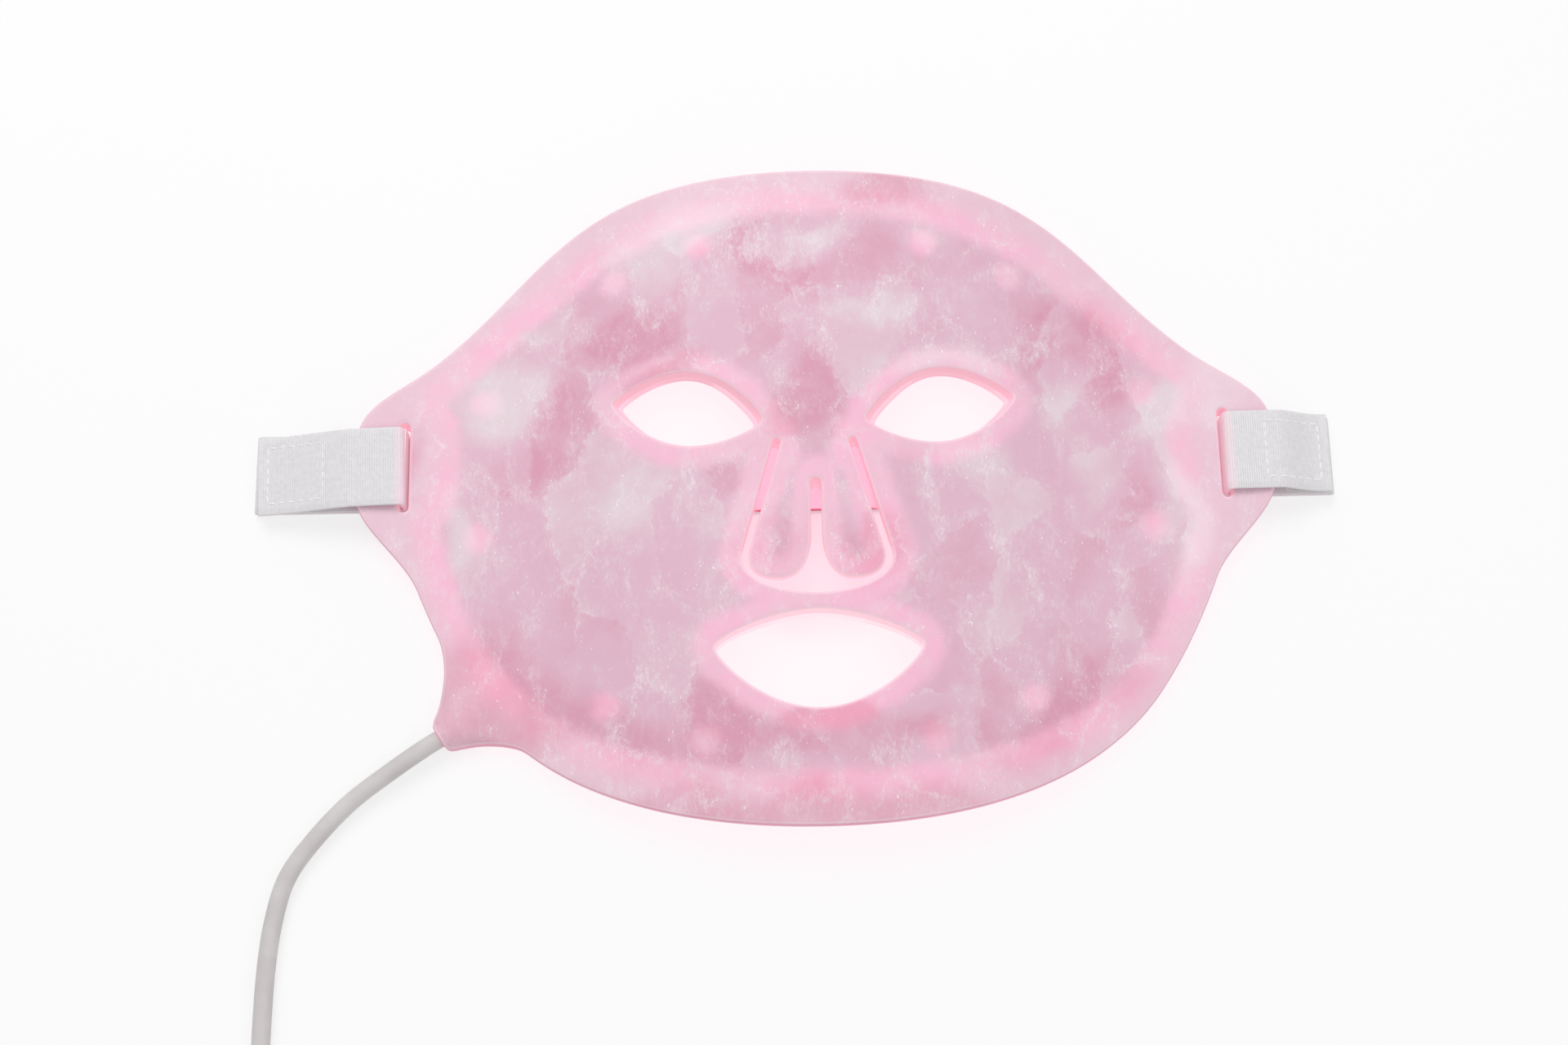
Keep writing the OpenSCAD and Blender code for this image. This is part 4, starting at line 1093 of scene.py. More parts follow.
class Nodes:
    """A node tree, written as short expressions."""

    def __init__(self, owner, output):
        owner.use_nodes = True
        self.tree = owner.node_tree
        self.tree.nodes.clear()
        self.out = self.node(output)

    def node(self, kind, **props):
        n = self.tree.nodes.new(kind)
        for k, v in props.items():
            setattr(n, k, v)
        return n

    def put(self, socket, value):
        if isinstance(value, bpy.types.NodeSocket):
            self.tree.links.new(value, socket)
        else:
            socket.default_value = value

    def make(self, kind, inputs, out=0, **props):
        """One output of a new node, its inputs set by number or by name."""
        n = self.node(kind, **props)
        for key, value in inputs.items():
            self.put(n.inputs[key], value)
        return n.outputs[out]

    def math(self, op, a, b=0.0, clamp=False):
        return self.make("ShaderNodeMath", {0: a, 1: b}, operation=op, use_clamp=clamp)

    def mul(self, a, b):
        return self.math("MULTIPLY", a, b)

    def add(self, a, b):
        return self.math("ADD", a, b)

    def most(self, a, b):
        return self.math("MAXIMUM", a, b)

    def step(self, value, lo, hi, out_lo=0.0, out_hi=1.0):
        inputs = dict(enumerate((value, lo, hi, out_lo, out_hi)))
        return self.make("ShaderNodeMapRange", inputs, interpolation_type="SMOOTHSTEP")

    def ray(self, kind):
        return self.make("ShaderNodeLightPath", {}, f"Is {kind} Ray")

    def either(self, factor, a, b):
        return self.make("ShaderNodeMixShader", {0: factor, 1: a, 2: b})


class Graph(Nodes):
    """The nodes of a material with one main surface shader."""

    def __init__(self, name, roughness=0.5, specular=0.5, **inputs):
        self.material = bpy.data.materials.new(name)
        super().__init__(self.material, "ShaderNodeOutputMaterial")
        self.shader = self.node("ShaderNodeBsdfPrincipled")
        self.put(self.out.inputs[0], self.shader.outputs[0])
        self.set("Roughness", roughness)
        self.set("Specular IOR Level", specular)
        for key, value in inputs.items():
            self.set(key.replace("_", " "), value)

    def set(self, name, value):
        self.put(self.shader.inputs[name], value)

    def mix(self, factor, a, b):
        return self.make("ShaderNodeMix", {0: factor, 6: a, 7: b}, 2, data_type="RGBA")

    def tint(self, colour, amount, weight, target):
        return self.mix(self.mul(amount, weight), colour, target)

    def shades(self, tone, reach, rose, plain, pale):
        """Rose to pale along a tone from -reach to reach."""
        up, down = self.step(tone, 0.0, reach), self.step(tone, 0.0, -reach)
        return self.mix(up, self.mix(down, plain, rose), pale)

    def value(self, name):
        return self.make("ShaderNodeAttribute", {}, "Fac", attribute_name=name)

    def place(self, stored=True):
        """The point's place in millimetres: its stored place at rest, or its own."""
        if stored:
            at = self.make("ShaderNodeAttribute", {}, "Vector", attribute_name="rest")
        else:
            at = self.make("ShaderNodeTexCoord", {}, "Object")
        return self.make("ShaderNodeVectorMath", {0: at, "Scale": 1 / MM}, operation="SCALE")

    def stretch(self, vector, turn, y_scale):
        inputs = {"Vector": vector, "Rotation": (0, 0, math.radians(turn)), "Scale": (1, y_scale, 1)}
        return self.make("ShaderNodeMapping", inputs)

    def shifted(self, vector, by, amount):
        half = self.make("ShaderNodeVectorMath", {0: by, 1: (0.5,) * 3}, operation="SUBTRACT")
        inputs = {0: half, 1: (amount,) * 3, 2: vector}
        return self.make("ShaderNodeVectorMath", inputs, operation="MULTIPLY_ADD")

    def noise(self, vector, scale, detail=3.0, rough=0.5, out=0):
        inputs = {"Vector": vector, "Scale": scale, "Detail": detail, "Roughness": rough}
        return self.make("ShaderNodeTexNoise", inputs, out)

    def cells(self, vector, scale, feature="F1", out="Distance", smooth=None):
        inputs = {"Vector": vector, "Scale": scale}
        if smooth:
            inputs["Smoothness"] = smooth
        return self.make("ShaderNodeTexVoronoi", inputs, out, feature=feature)

    def red(self, colour):
        return self.make("ShaderNodeSeparateColor", {0: colour})

    def pass_light(self, tint):
        """Let tinted light through to what lies below, as thin silicone does."""
        clear = self.make("ShaderNodeBsdfTransparent", {0: tint})
        surface = self.either(self.ray("Shadow"), self.shader.outputs[0], clear)
        self.put(self.out.inputs[0], surface)

    def bump(self, height, strength, distance):
        inputs = {"Strength": strength, "Distance": distance, "Height": height}
        self.set("Normal", self.make("ShaderNodeBump", inputs))


# Share of light that passes one face of the silicone
SHINE = (1.0, 0.92, 0.955, 1.0)
# Strength of the painted glow that stands in for light spread inside the sheet, coming out of its rim and the walls of
# its openings
WALL_LIGHT = 0.32


def finish_silicone(g, colour, share, walls, lights):
    """Walls of the openings and outer rim: the walls get a lighter colour and a painted glow, as if lit from inside;
    the rim gets a painted darker rose shade and a faint glow; each pair is plain, then pale.
    """
    wall, rim, pale = g.value("wall"), g.value("rim"), g.value("pale")
    # Painted light: the walls of the openings take a lighter colour
    colour = g.tint(colour, wall, share, g.mix(pale, *walls))
    # Painted shade: the outer rim turns darker rose
    g.set("Base Color", g.tint(colour, rim, 0.7, rgb(226, 152, 176)))
    # Painted glow, faint on the rim and brighter on the walls
    glow = g.mix(rim, BLACK, rgb(150, 70, 90))
    g.set("Emission Color", g.mix(wall, glow, g.mix(pale, *lights)))
    g.set("Emission Strength", WALL_LIGHT)
    g.pass_light(SHINE)


def front_silicone():
    """Marbled rose sheet: grey-mauve over the lamp board, with painted light making it bright where light comes
    through round the board.
    """
    g = Graph("front_silicone", 0.46, 0.35)
    at = g.place()
    warped = g.shifted(at, g.noise(at, 0.05, 4, 0.6, 1), 14.0)
    cloud = g.noise(warped, 0.045, 6, 0.62)

    # Marbling over the board, with painted light where light comes through round it, and further out
    crystal = g.stretch(g.shifted(at, g.noise(at, 0.09, 5, 0.72, 1), 13.0), 35, 0.62)
    facet = g.red(g.cells(crystal, 0.052, "SMOOTH_F1", "Color", 0.13))
    border = g.cells(crystal, 0.052, "DISTANCE_TO_EDGE")
    soft = g.add(g.mul(g.value("tone"), 0.85), g.mul(g.add(cloud, -0.5), 1.4))
    tone = g.add(soft, g.mul(g.add(facet, -0.5), 0.8))
    over = g.shades(tone, 0.85, rgb(220, 157, 180), rgb(226, 184, 202), rgb(230, 210, 218))
    clear = g.shades(soft, 0.9, rgb(242, 164, 190), rgb(250, 190, 214), rgb(250, 216, 229))
    outer = g.shades(soft, 0.9, rgb(226, 168, 188), rgb(236, 199, 214), rgb(241, 218, 228))
    # Painted light: brighter pink, unevenly, where light comes through round the board
    uneven = g.step(g.noise(warped, 0.04, 4, 0.6), 0.36, 0.6, 0.4, 1.0)
    colour = g.mix(g.mul(g.value("glow"), uneven), outer, clear)
    board = g.value("board")
    border_zone = g.mul(board, g.math("SUBTRACT", 1.0, board))
    ragged = g.mul(border_zone, g.mul(g.add(g.noise(at, 0.14, 5, 0.65), -0.5), 6.0))
    colour = g.mix(g.math("ADD", board, ragged, True), colour, over)

    # Frosted veil, milky streaks, hairs, cracks, flecks and motes
    grain = g.step(g.noise(g.stretch(at, 62, 0.55), 1.0, 5, 0.8), 0.42, 0.62)
    streak = g.step(g.noise(g.stretch(warped, 58, 0.3), 0.13, 5, 0.7), 0.5, 0.75)
    haze = g.step(g.noise(warped, 0.07, 5, 0.66), 0.47, 0.7)
    seam = g.mul(g.step(border, 0.19, 0.0), g.step(g.noise(at, 0.1, 3, 0.6), 0.4, 0.62))
    wisp = g.step(g.noise(g.stretch(warped, 75, 0.25), 0.22, 5, 0.72), 0.4, 0.64)
    frost = g.most(g.mul(haze, 0.8), g.most(g.mul(seam, 0.75), streak))
    veil = g.mul(g.mul(frost, 0.8), g.add(g.mul(grain, 0.8), 0.12))
    colour = g.tint(colour, veil, 0.62, rgb(241, 234, 238))
    milk = g.mul(g.mul(g.value("frost"), wisp), g.add(g.mul(grain, 0.6), 0.3))
    colour = g.tint(colour, milk, 0.8, rgb(240, 233, 237))
    frost = g.most(frost, milk)
    combed = g.stretch(g.shifted(at, g.noise(at, 0.2, 2, 0.5, 1), 3.0), 72, 0.14)
    hair = g.step(g.math("ABSOLUTE", g.add(g.noise(combed, 0.5, 3, 0.6), -0.5)), 0.02, 0.0)
    hair_zone = g.add(frost, g.mul(g.noise(at, 0.16, 3, 0.6), 0.5))
    hair = g.mul(hair, g.step(hair_zone, 0.55, 0.9))
    colour = g.tint(colour, hair, 0.22, rgb(248, 242, 245))
    crack = g.mul(g.step(border, 0.03, 0.0), g.step(g.noise(at, 0.06, 3, 0.6), 0.44, 0.6))
    crack = g.mul(crack, g.add(g.mul(grain, 0.7), 0.3))
    colour = g.tint(colour, crack, 0.42, rgb(244, 236, 240))
    fleck = g.step(g.noise(g.stretch(at, 62, 0.5), 1.5, 2, 0.6), 0.66, 0.72)
    fleck_zone = g.add(g.noise(at, 0.09, 3, 0.6), g.mul(frost, 0.12))
    fleck = g.mul(fleck, g.step(fleck_zone, 0.46, 0.62))
    colour = g.tint(colour, fleck, 0.85, rgb(250, 246, 248))
    mote = g.step(g.cells(at, 0.16), 0.035, 0.02)
    colour = g.tint(colour, mote, 0.35, rgb(150, 90, 110))

    # Painted highlight: a pale line along every rounded edge
    edge = g.value("edge")
    line = g.mul(g.step(edge, 0.1, 0.35), g.step(edge, 1.1, 0.6))
    colour = g.tint(colour, line, 0.5, rgb(253, 224, 234))
    g.set("Roughness", g.step(cloud, 0.3, 0.7, 0.4, 0.54))
    relief = g.add(g.noise(at, 2.2, 3, 0.6), g.mul(g.noise(at, 0.25, 2, 0.5), 3.0))
    g.bump(relief, 0.06, 0.0004)
    # Painted light on the walls of the openings: a lighter colour and a glow colour, each plain, then pale
    walls = rgb(251, 205, 216), rgb(253, 224, 231)
    lights = rgb(200, 138, 154), rgb(226, 176, 188)
    finish_silicone(g, colour, 0.9, walls, lights)
    return g.material


def rear_silicone():
    """Wearer's side: plain clear pink, with a window over each lamp."""
    g = Graph("rear_silicone", 0.5, 0.35)
    at = g.place()
    cloud = g.noise(at, 0.06, 4, 0.55)
    colour = g.mix(g.step(cloud, 0.3, 0.7), rgb(240, 178, 202), rgb(247, 200, 218))
    colour = g.tint(colour, g.value("board"), 0.55, rgb(228, 190, 206))
    colour = g.tint(colour, g.value("lamp"), 0.8, rgb(250, 226, 226))
    g.set("Roughness", g.step(cloud, 0.3, 0.7, 0.45, 0.58))
    g.bump(g.noise(at, 3.0, 3, 0.6), 0.08, 0.0003)
    # Painted light on the walls of the openings: a lighter colour and a glow colour, each plain, then pale
    walls = rgb(251, 207, 218), rgb(254, 236, 241)
    lights = rgb(216, 160, 175), rgb(246, 220, 227)
    finish_silicone(g, colour, 0.85, walls, lights)
    return g.material


# Painted pink light and glow of the sheet on the webbing: full and no longer there at these distances from the nose
# line, its strength, and whether it is only on the front, where the lower edge gets a painted red light
SLOT_LIGHT = (SLOT_X, SLOT_X + 3.2, 0.12, False)
NOSE_LIGHT = (17, 21, 0.26, True)
LIT_CLOTHS = {"webbing": SLOT_LIGHT, "pink_lit_band_webbing": NOSE_LIGHT}
# Cloths: base, darker and lighter tone
CLOTHS = {
    "tie_cloth": ((206, 203, 204), (186, 183, 184), (220, 217, 218)),
    "webbing": ((230, 227, 230), (205, 201, 205), (238, 236, 238)),
    # The band's cloth is pinker and lighter than the other webbing: painted light from the pink sheet above it
    "pink_lit_band_webbing": ((243, 232, 237), (228, 214, 221), (247, 238, 242)),
    "loop_pile": ((222, 219, 220), (200, 197, 198), (234, 232, 233)),
    "hook_tape": ((210, 207, 208), (186, 183, 184), (224, 222, 223)),
    "thread": ((248, 247, 248), (232, 231, 234), (252, 252, 252)),
}
WARP_PITCH = 0.45


def webbing_cloth(name):
    """Close-woven tape: cross ribs, warp threads and a denser selvage."""
    base, dark, light = (rgb(*tone) for tone in CLOTHS[name])
    g = Graph(name, 0.82, 0.25, Sheen_Weight=0.15, Sheen_Roughness=0.5)
    at = g.place()
    across = g.value("across")
    rib = g.math("SINE", g.mul(g.value("along"), 2 * math.pi / RIB_PITCH))
    warp = g.math("SINE", g.mul(across, 2 * math.pi / WARP_PITCH))
    dust = g.noise(at, 0.7, 4, 0.6)
    colour = g.mix(g.step(dust, 0.3, 0.7), base, light)
    colour = g.mix(g.step(rib, -0.2, -1.0, 0.0, 0.5), colour, dark)
    colour = g.tint(colour, g.step(g.math("ABSOLUTE", across), 11.4, 11.9), 0.35, light)
    # Painted light: a pink tint and glow near the slots and under the nose, and a painted red light along the band's
    # lower edge there
    if name in LIT_CLOTHS:
        full, end, strength, front_only = LIT_CLOTHS[name]
        x = g.make("ShaderNodeSeparateXYZ", {0: at})
        near = g.step(g.math("ABSOLUTE", x), end, full)
        if front_only:
            near = g.mul(near, g.step(g.value("face"), -1.0, -0.3))
        colour = g.tint(colour, near, 0.5, rgb(246, 206, 217))
        glow = g.mix(near, BLACK, rgb(236, 206, 220))
        if front_only:
            # Painted red light along the band's lower edge in the nose slits
            red_lit_edge = g.mul(near, g.step(across, -11.9, -12.1))
            colour = g.mix(red_lit_edge, colour, rgb(228, 110, 130))
            glow = g.mix(red_lit_edge, glow, rgb(178, 76, 94))
        g.set("Emission Color", glow)
        g.set("Emission Strength", strength)
    g.set("Base Color", colour)
    g.set("Roughness", g.step(dust, 0.3, 0.7, 0.78, 0.9))
    weave = g.add(g.mul(g.mul(rib, warp), 0.5), g.mul(g.noise(at, 6.0, 2, 0.6), 0.8))
    g.bump(weave, 0.5, 0.00012)
    return g.material


# Moulded and coated surfaces: darker and lighter tone, scale of the grain, and roughness
SURFACES = {
    "board_film": ((150, 112, 84), (176, 136, 102), 0.2, 0.5),
    "red_lamp": ((240, 226, 200), (250, 240, 222), 0.8, 0.25),
    "infrared_lamp": ((70, 56, 72), (92, 74, 92), 0.8, 0.25),
    "resistor": ((32, 32, 34), (52, 50, 52), 1.0, 0.5),
    "lead_collar": ((160, 157, 159), (176, 172, 174), 0.5, 0.5),
    "core_wire": ((176, 56, 48), (200, 74, 62), 0.6, 0.4),
    "solder": ((176, 180, 184), (206, 208, 210), 0.9, 0.3),
    "plug_plastic": ((206, 202, 203), (216, 213, 214), 0.4, 0.55),
    "shell_steel": ((190, 192, 196), (214, 216, 219), 0.5, 0.28),
    "tongue_plastic": ((232, 232, 228), (242, 242, 240), 0.6, 0.4),
    "contact_gilt": ((206, 166, 84), (222, 186, 108), 0.9, 0.22),
}
METALS = {"solder", "shell_steel", "contact_gilt"}


def speckled(name, relief=0.1, stored=True, shine=None):
    """A moulded or coated surface with a fine tone change and grain."""
    low, high, scale, roughness = SURFACES[name]
    g = Graph(name, roughness, 0.4, Metallic=float(name in METALS))
    at = g.place(stored)
    tone = g.step(g.noise(at, scale, 4, 0.6), 0.3, 0.7)
    g.set("Base Color", g.mix(tone, rgb(*low), rgb(*high)))
    wear = g.noise(at, scale * 3, 2, 0.5)
    g.set("Roughness", g.step(wear, 0.3, 0.7, roughness - 0.06, roughness + 0.06))
    g.bump(g.noise(at, scale * 6, 2, 0.6), relief, 0.0002)
    if shine:
        g.pass_light(shine)
    return g.material


def lead_jacket():
    g = Graph("lead_jacket", 0.5, 0.4)
    at = g.place()
    tone = g.step(g.noise(at, 0.12, 3, 0.5), 0.3, 0.7)
    g.set("Base Color", g.mix(tone, rgb(206, 201, 200), rgb(215, 211, 210)))
    g.set("Roughness", g.step(g.noise(at, 0.8, 2, 0.5), 0.3, 0.7, 0.42, 0.55))
    g.bump(g.noise(at, 2.5, 3, 0.6), 0.1, 0.0002)
    return g.material


# Pieces
def paint(obj, material):
    obj.data.materials.clear()
    obj.data.materials.append(material)
    return obj


def metres(*p):
    return tuple(v * MM for v in p)


def bend_wing(obj, zone):
    """The piece stays with the middle at the bend line and follows the wing further out."""
    body, side = WINGS[zone]
    start, end = metres(side * FLEX_X, 0, 0), metres(side * BEND_END, 0, 0)
    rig.blend(obj, "centre", body, start=start, end=end)


def bend_nose(obj):
    start, end = metres(0, BRIDGE_Y, 0), metres(0, NOSE_END, 0)
    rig.blend(obj, "centre", "nose_flap", start=start, end=end)


def make_sheets():
    looks = {"front": front_silicone(), "rear": rear_silicone()}
    for node, piece in build_sheets().items():
        layer = node.split("_")[-2]
        zone = node[: node.index(layer)]
        paint(piece, looks[layer])
        if zone in WINGS:
            bend_wing(piece, zone)
        elif zone == "nose_":
            bend_nose(piece)
        else:
            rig.ride(piece, "centre")
        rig.replaces(piece, node)
        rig.slot(piece, layer + "_silicone")


def slice_across(mesh, axis, cuts):
    """Cut a mesh along planes across its bend, so that it can follow the curve."""
    shape = bmesh.new()
    shape.from_mesh(mesh)
    normal = Vector((0, 0, 0))
    normal[axis] = 1
    for at in cuts:
        whole = [*shape.verts, *shape.edges, *shape.faces]
        plane = normal * at * MM
        bmesh.ops.bisect_plane(shape, geom=whole, dist=1e-7, plane_co=plane, plane_no=normal)
    bmesh.ops.triangulate(shape, faces=shape.faces)
    shape.to_mesh(mesh)
    shape.free()


def inner_copy(node, look, axis=0, cuts=()):
    """A copy of a rigid inner piece, so that it can bend with the sheet around it."""
    mesh = frame["nodes"][node].data.copy()
    mesh.name = node + "_inside"
    if len(cuts):
        slice_across(mesh, axis, cuts)
    obj = new_object(mesh.name, mesh)
    co = np.zeros(len(mesh.vertices) * 3, np.float32)
    mesh.vertices.foreach_get("co", co)
    mesh.attributes.new("rest", "FLOAT_VECTOR", "POINT").data.foreach_set("vector", co)
    return paint(obj, look)


def make_inner(jacket):
    """Board, lamps, resistors and the lead's cores, sealed between the two sheets."""
    looks = {
        "flex_board": speckled("board_film", shine=SHINE),
        "red_lamps": speckled("red_lamp"),
        "infrared_lamps": speckled("infrared_lamp"),
        "resistors": speckled("resistor"),
    }
    for kind, look in looks.items():
        piece = inner_copy(kind, look)
        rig.ride(piece, "centre")
        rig.replaces(piece, kind)
        for zone, (_, side) in WINGS.items():
            piece = inner_copy(zone + kind, look, 0, side * WING_CUTS)
            bend_wing(piece, zone)
            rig.replaces(piece, zone + kind)
    for node, kind in (("nose_flex_board", "flex_board"), ("nose_lamps", "red_lamps")):
        piece = inner_copy(node, looks[kind], 1, NOSE_CUTS)
        bend_nose(piece)
        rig.replaces(piece, node)
    looks = {
        "cord_entry": jacket,
        "cord_collar": speckled("lead_collar"),
        "core_wires": speckled("core_wire"),
        "solder_joints": speckled("solder"),
    }
    for node, look in looks.items():
        piece = inner_copy(node, look, 0, -WING_CUTS)
        bend_wing(piece, "left_")
        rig.replaces(piece, node)


def super_loft(name, sections, offset, around=48):
    """Closed body through rounded-rectangle sections (x, half width, half height, squareness)."""
    co = []
    turn = np.linspace(0, 2 * math.pi, around, endpoint=False)
    c, s = np.cos(turn), np.sin(turn)
    for x, w, h, power in sections:
        y = w * np.sign(c) * np.abs(c) ** (2 / power)
        z = h * np.sign(s) * np.abs(s) ** (2 / power)
        co.append(np.stack([np.full_like(y, x), y, z], 1))
    faces = [f[::-1] for f in loft_faces(len(sections), around)]
    return solid_mesh(name, np.vstack(co) + offset, faces, sharp=40)


def plug_sections():
    """Ribbed neck, shoulder, body with finger grooves, and rounded front."""
    sections = [(-0.2, 2.9, 2.9, 2.0), (0.0, 3.3, 3.3, 2.0)]
    for x in np.arange(0.4, 8.3, 0.2):
        r = 3.75 - 0.35 * max(0.0, math.sin(2 * math.pi * x / 1.6)) ** 0.6
        sections.append((x, r, r, 2.0))
    sections += [(8.4, 3.8, 3.7, 2.2), (8.9, 4.6, 3.7, 2.6), (9.3, 6.2, 3.75, 3.4)]
    sections += [(10.2, 7.3, 3.9, 4.6), (11.4, 7.75, 4.0, 5.5)]
    for x in np.arange(12.0, 31.0, 0.25):
        wave = np.array(math.cos(2 * math.pi * (x - 14) / 2.4))
        groove = 0.3 * smoothstep(0.5, 1.0, wave) if 13 < x < 27 else 0.0
        sections.append((x, 7.8 - groove, 4.0, 6.0))
    sections += [(31.6, 7.75, 3.95, 6.0), (32.4, 7.5, 3.75, 6.0), (32.9, 7.0, 3.3, 6.0)]
    return sections + [(33.0, 6.7, 3.0, 6.0)]


def make_plug(end):
    """Moulded plug; its metal parts are the CAD's own."""
    body = super_loft("plug_moulding", plug_sections(), end)
    paint(body, speckled("plug_plastic", relief=0.2))
    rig.ride(body, "centre")
    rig.replaces(body, "plug_body")
    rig.slot(body, "plug_moulding")
    looks = {
        "plug_shell": "shell_steel",
        "plug_tongue": "tongue_plastic",
        "plug_contacts": "contact_gilt",
    }
    for node, look in looks.items():
        paint(frame["nodes"][node], speckled(look, stored=False))
    return body


def make_tie(cloth):
    """Hook-and-loop tie around the coil, one end lapped over the other."""
    inner, outer, low, high, r = 20.35, 42.375, 0.5, 13.8, 4.0
    width, thick, lap, turn = 9.0, 1.0, 1.08, 225
    corners = [((outer - r, high - r), 90, 0), ((outer - r, low + r), 0, -90)]
    corners += [((inner + r, low + r), 270, 180), ((inner + r, high - r), 180, 90)]
    line = [[30.0, high], [outer - r, high]]
    for corner in corners:
        line += arc(corner[0], r, *corner[1:])
    line += [[27.0, high], [31.0, high + lap], [39.0, high + lap]]

    def place(co):
        return rotated(co, turn) + [*COIL_MID, 0]

    line = np.vstack(line)
    tie = ribbon_mesh("coil_tie_strap", line, width, thick, place, False, **TIE_WEAVE)
    paint(tie, cloth)
    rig.ride(tie, "centre")
    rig.replaces(tie, "coil_tie")
    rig.slot(tie, "tie")
    return tie


def make_lead(jacket, tie_cloth):
    path = cord_points()
    cord = paint(tube_mesh("lead", path, CORD_D / 2, 24), jacket)
    start, end = metres(*LEAD_STILL), metres(*path[0])
    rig.blend(cord, "centre", "left_wing", start=start, end=end)
    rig.replaces(cord, "cord_lead", "cord_coil")
    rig.slot(cord, "lead_jacket")
    plug = make_plug(path[-1])
    tie = make_tie(tie_cloth)
    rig.cord(
        cord,
        exit=metres(*path[0]),
        length=round(float(run_lengths(path)[-1] * MM), 3),
        diameter=CORD_D * MM,
        far_end="plug",
        stiffness="medium",
        lay="coiled",
        path=[metres(*p) for p in path],
        with_pieces=[plug, "plug_shell", "plug_tongue", "plug_contacts", tie],
    )


def seam_box(zone, length, flap_path, place):
    """The four sides of the stitched box on a strap end."""
    u0, u1, w = SEAM_STARTS[zone], length - SEAM_MARGIN, SEAM_HALF_W
    corners = [(u0, -w), (u1, -w), (u1, w), (u0, w), (u0, -w)]
    far = flap_path[flap_path[:, 0] >= CREST_U]
    t = np.linspace(0, 1, 80)[:, None]
    sides = []
    for a, b in zip(corners, corners[1:]):
        q = (1 - t) * np.array(a) + t * np.array(b)
        z = np.interp(q[:, 0], far[:, 0], far[:, 1]) + STRAP_T / 2
        sides.append(place(np.column_stack([q, z])))
    return sides


def make_strap_side(zone, cloths):
    """Loop, end with its two tapes and stitching, and half of the band on one side."""
    body, side = WINGS[zone]
    end = zone + "strap_end"
    length, turn = STRAP_ENDS[zone]
    straight, turned, mirror = strap_place(side), strap_place(side, turn), side < 0
    tape, tape_end = (TAPE_W, TAPE_T), length - TAPE_MARGIN
    hook_shift = -(STRAP_T + TAPE_T) / 2 - HOOK_GAP

    line = loop_line(length)
    loop = ribbon_mesh(zone + "strap_loop_web", line, STRAP_W, STRAP_T, straight, mirror)
    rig.ride(paint(loop, cloths["webbing"]), body)
    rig.replaces(loop, zone + "strap_loop")

    flap_path = flap_line(length)
    flap = ribbon_mesh(zone + "strap_flap_web", flap_path, STRAP_W, STRAP_T, turned, mirror)
    still, moved = (metres(side * (SLOT_X + u), SLOT_Y, z) for u, z in (PEEL_START, PEEL_END))
    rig.blend(paint(flap, cloths["webbing"]), body, end, start=still, end=moved)
    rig.replaces(flap, zone + "strap_flap")

    z = BACK_Z + (STRAP_T + TAPE_T) / 2
    line = [[PILE_START, z], [tape_end, z]]
    pile = ribbon_mesh(zone + "loop_pile", line, *tape, straight, mirror, **PILE_WEAVE)
    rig.ride(paint(pile, cloths["loop_pile"]), body)
    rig.replaces(pile, zone + "loop_tape")

    line = [p for p in flap_path if HOOK_START < p[0] < tape_end] + [[tape_end, END_Z]]
    hook = ribbon_mesh(
        zone + "hook_strip", line, *tape, turned, mirror, **HOOK_WEAVE, shift=hook_shift
    )
    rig.ride(paint(hook, cloths["hook_tape"]), end)
    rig.replaces(hook, zone + "hook_tape")

    box = seam_box(zone, length, flap_path, turned)
    seam = stitch_mesh(zone + "strap_stitching", box)
    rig.ride(paint(seam, cloths["thread"]), end)

    line = [[side * BAND_SPLIT_X - SLOT_X, BAND_Z], [length, BAND_Z]]
    place = band_place(side)
    half = ribbon_mesh(
        zone + "strap_band_web", line, STRAP_W, STRAP_T, place, mirror, step=BAND_STEP
    )
    bend_wing(paint(half, cloths["pink_lit_band_webbing"]), zone)
    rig.replaces(half, "strap_band")
    for piece in (loop, flap, half):
        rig.slot(piece, "webbing")


# Stage
CAMERA_TARGET = Vector((-9.894, -9.404, 8.0)) * MM
CAMERA_DISTANCE = 600 * MM
CAMERA_TILT = math.radians(14.0)
CAMERA_ROLL = math.radians(-1.08)
FOCAL_PX, PICTURE_PX, SENSOR_W = 2374.0, 1920.0, 36.0
# The floor's own white: share under the nose opening and round it, and whole far away
NOSE_FLOOR = (0, -14, 0)
NOSE_REACH, NOSE_SHARES = (22, 36), (0.3, 0.7)
FAR_REACH = (200, 600)
WORLD_LIGHT = 0.544
# Floor and lamps in metres, each lamp with its place, size and power
FLOOR_HALF, FLOOR_Z = 6.0, -0.0002
LAMPS = {"key": ((-0.25, 0.75, 1.1), 0.9, 7.8), "fill": ((0.6, -0.5, 1.2), 1.2, 3.3)}


def make_camera():
    """Camera over the mask, tilted towards the chin and rolled a little."""
    data = bpy.data.cameras.new("camera")
    data.sensor_width = SENSOR_W
    data.lens = FOCAL_PX / PICTURE_PX * SENSOR_W
    data.clip_start = 0.01
    data.clip_end = 20.0
    camera = new_object("camera", data)
    back = Vector((0, -math.sin(CAMERA_TILT), math.cos(CAMERA_TILT)))
    look = (-back).to_track_quat("-Z", "Y").to_matrix().to_4x4()
    place = Matrix.Translation(CAMERA_TARGET + back * CAMERA_DISTANCE)
    camera.matrix_world = place @ look @ Matrix.Rotation(CAMERA_ROLL, 4, "Z")
    scene.camera = camera


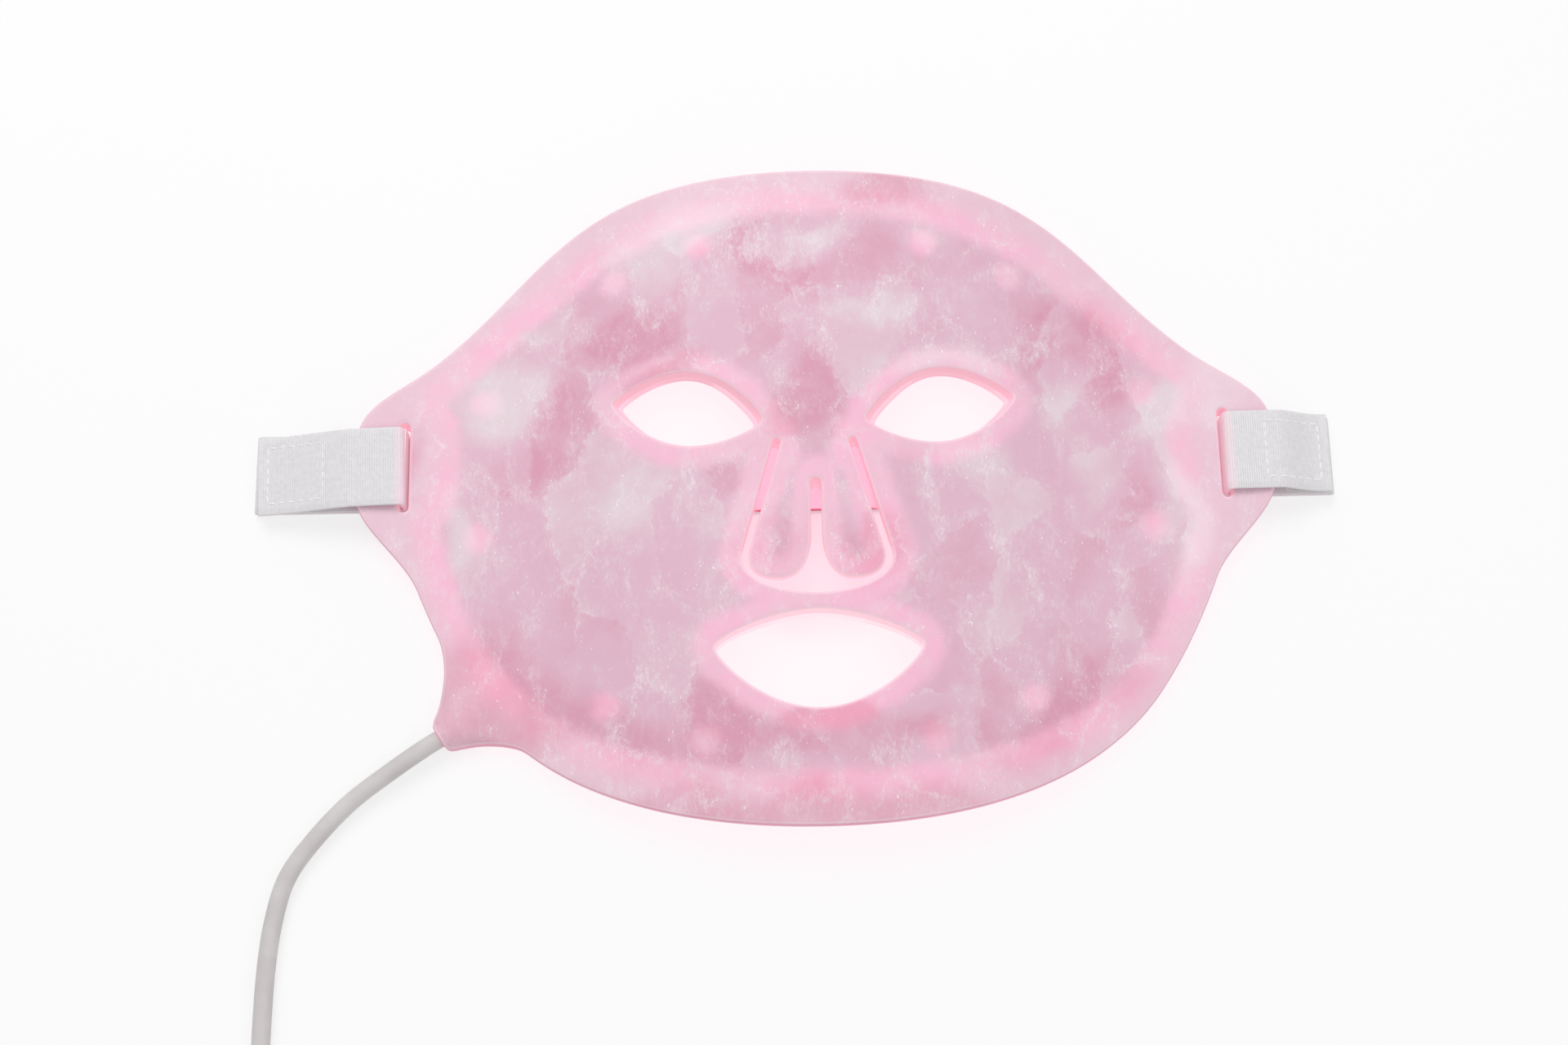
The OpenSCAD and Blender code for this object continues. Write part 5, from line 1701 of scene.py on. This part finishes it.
def floor_white():
    """White that takes shadows and, seen directly, partly shows a white of its own.

    Its own share is smallest under the nose opening, and whole far away from the mask.
    """
    material = bpy.data.materials.new("floor_white")
    g = Nodes(material, "ShaderNodeOutputMaterial")
    seen = g.most(g.most(g.ray("Camera"), g.ray("Glossy")), g.ray("Transmission"))
    here = g.make("ShaderNodeTexCoord", {}, "Object")
    ends = {0: here, 1: metres(*NOSE_FLOOR)}
    away = g.make("ShaderNodeVectorMath", ends, "Value", operation="DISTANCE")
    own = g.step(away, *metres(*NOSE_REACH), *NOSE_SHARES)
    own = g.most(own, g.step(away, *metres(*FAR_REACH)))
    plain = g.make("ShaderNodeBsdfDiffuse", {0: (0.95, 0.95, 0.95, 1)})
    glow = g.make("ShaderNodeEmission", {})
    g.put(g.out.inputs[0], g.either(g.mul(seen, own), plain, glow))
    return material


def make_stage():
    mesh = bpy.data.meshes.new("floor")
    corners = [(-1, -1), (1, -1), (1, 1), (-1, 1)]
    mesh.from_pydata(
        [(x * FLOOR_HALF, y * FLOOR_HALF, FLOOR_Z) for x, y in corners], [], [(0, 1, 2, 3)]
    )
    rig.stage(paint(new_object("floor", mesh), floor_white()))
    scene.world = bpy.data.worlds.new("studio")
    g = Nodes(scene.world, "ShaderNodeOutputWorld")
    strength = g.step(g.ray("Camera"), 0.0, 1.0, WORLD_LIGHT, 1.0)
    g.put(g.out.inputs[0], g.make("ShaderNodeBackground", {0: (1, 1, 1, 1), 1: strength}))
    for name, (place, size, power) in LAMPS.items():
        lamp = bpy.data.lights.new(name, "AREA")
        lamp.shape = "DISK"
        lamp.size = size
        lamp.energy = power
        obj = new_object(name, lamp)
        obj.location = place
        obj.rotation_mode = "QUATERNION"
        obj.rotation_quaternion = (-Vector(place)).to_track_quat("-Z", "Y")


lead_look = lead_jacket()
cloth_looks = {cloth: webbing_cloth(cloth) for cloth in CLOTHS}
make_camera()
make_lead(lead_look, cloth_looks["tie_cloth"])
make_sheets()
make_inner(lead_look)
for wing_zone in WINGS:
    make_strap_side(wing_zone, cloth_looks)
make_stage()

low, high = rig.bounds()
with open("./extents.json", "w") as f:
    json.dump({"cad": [list(cad_low), list(cad_high)], "visual": [list(low), list(high)]}, f)
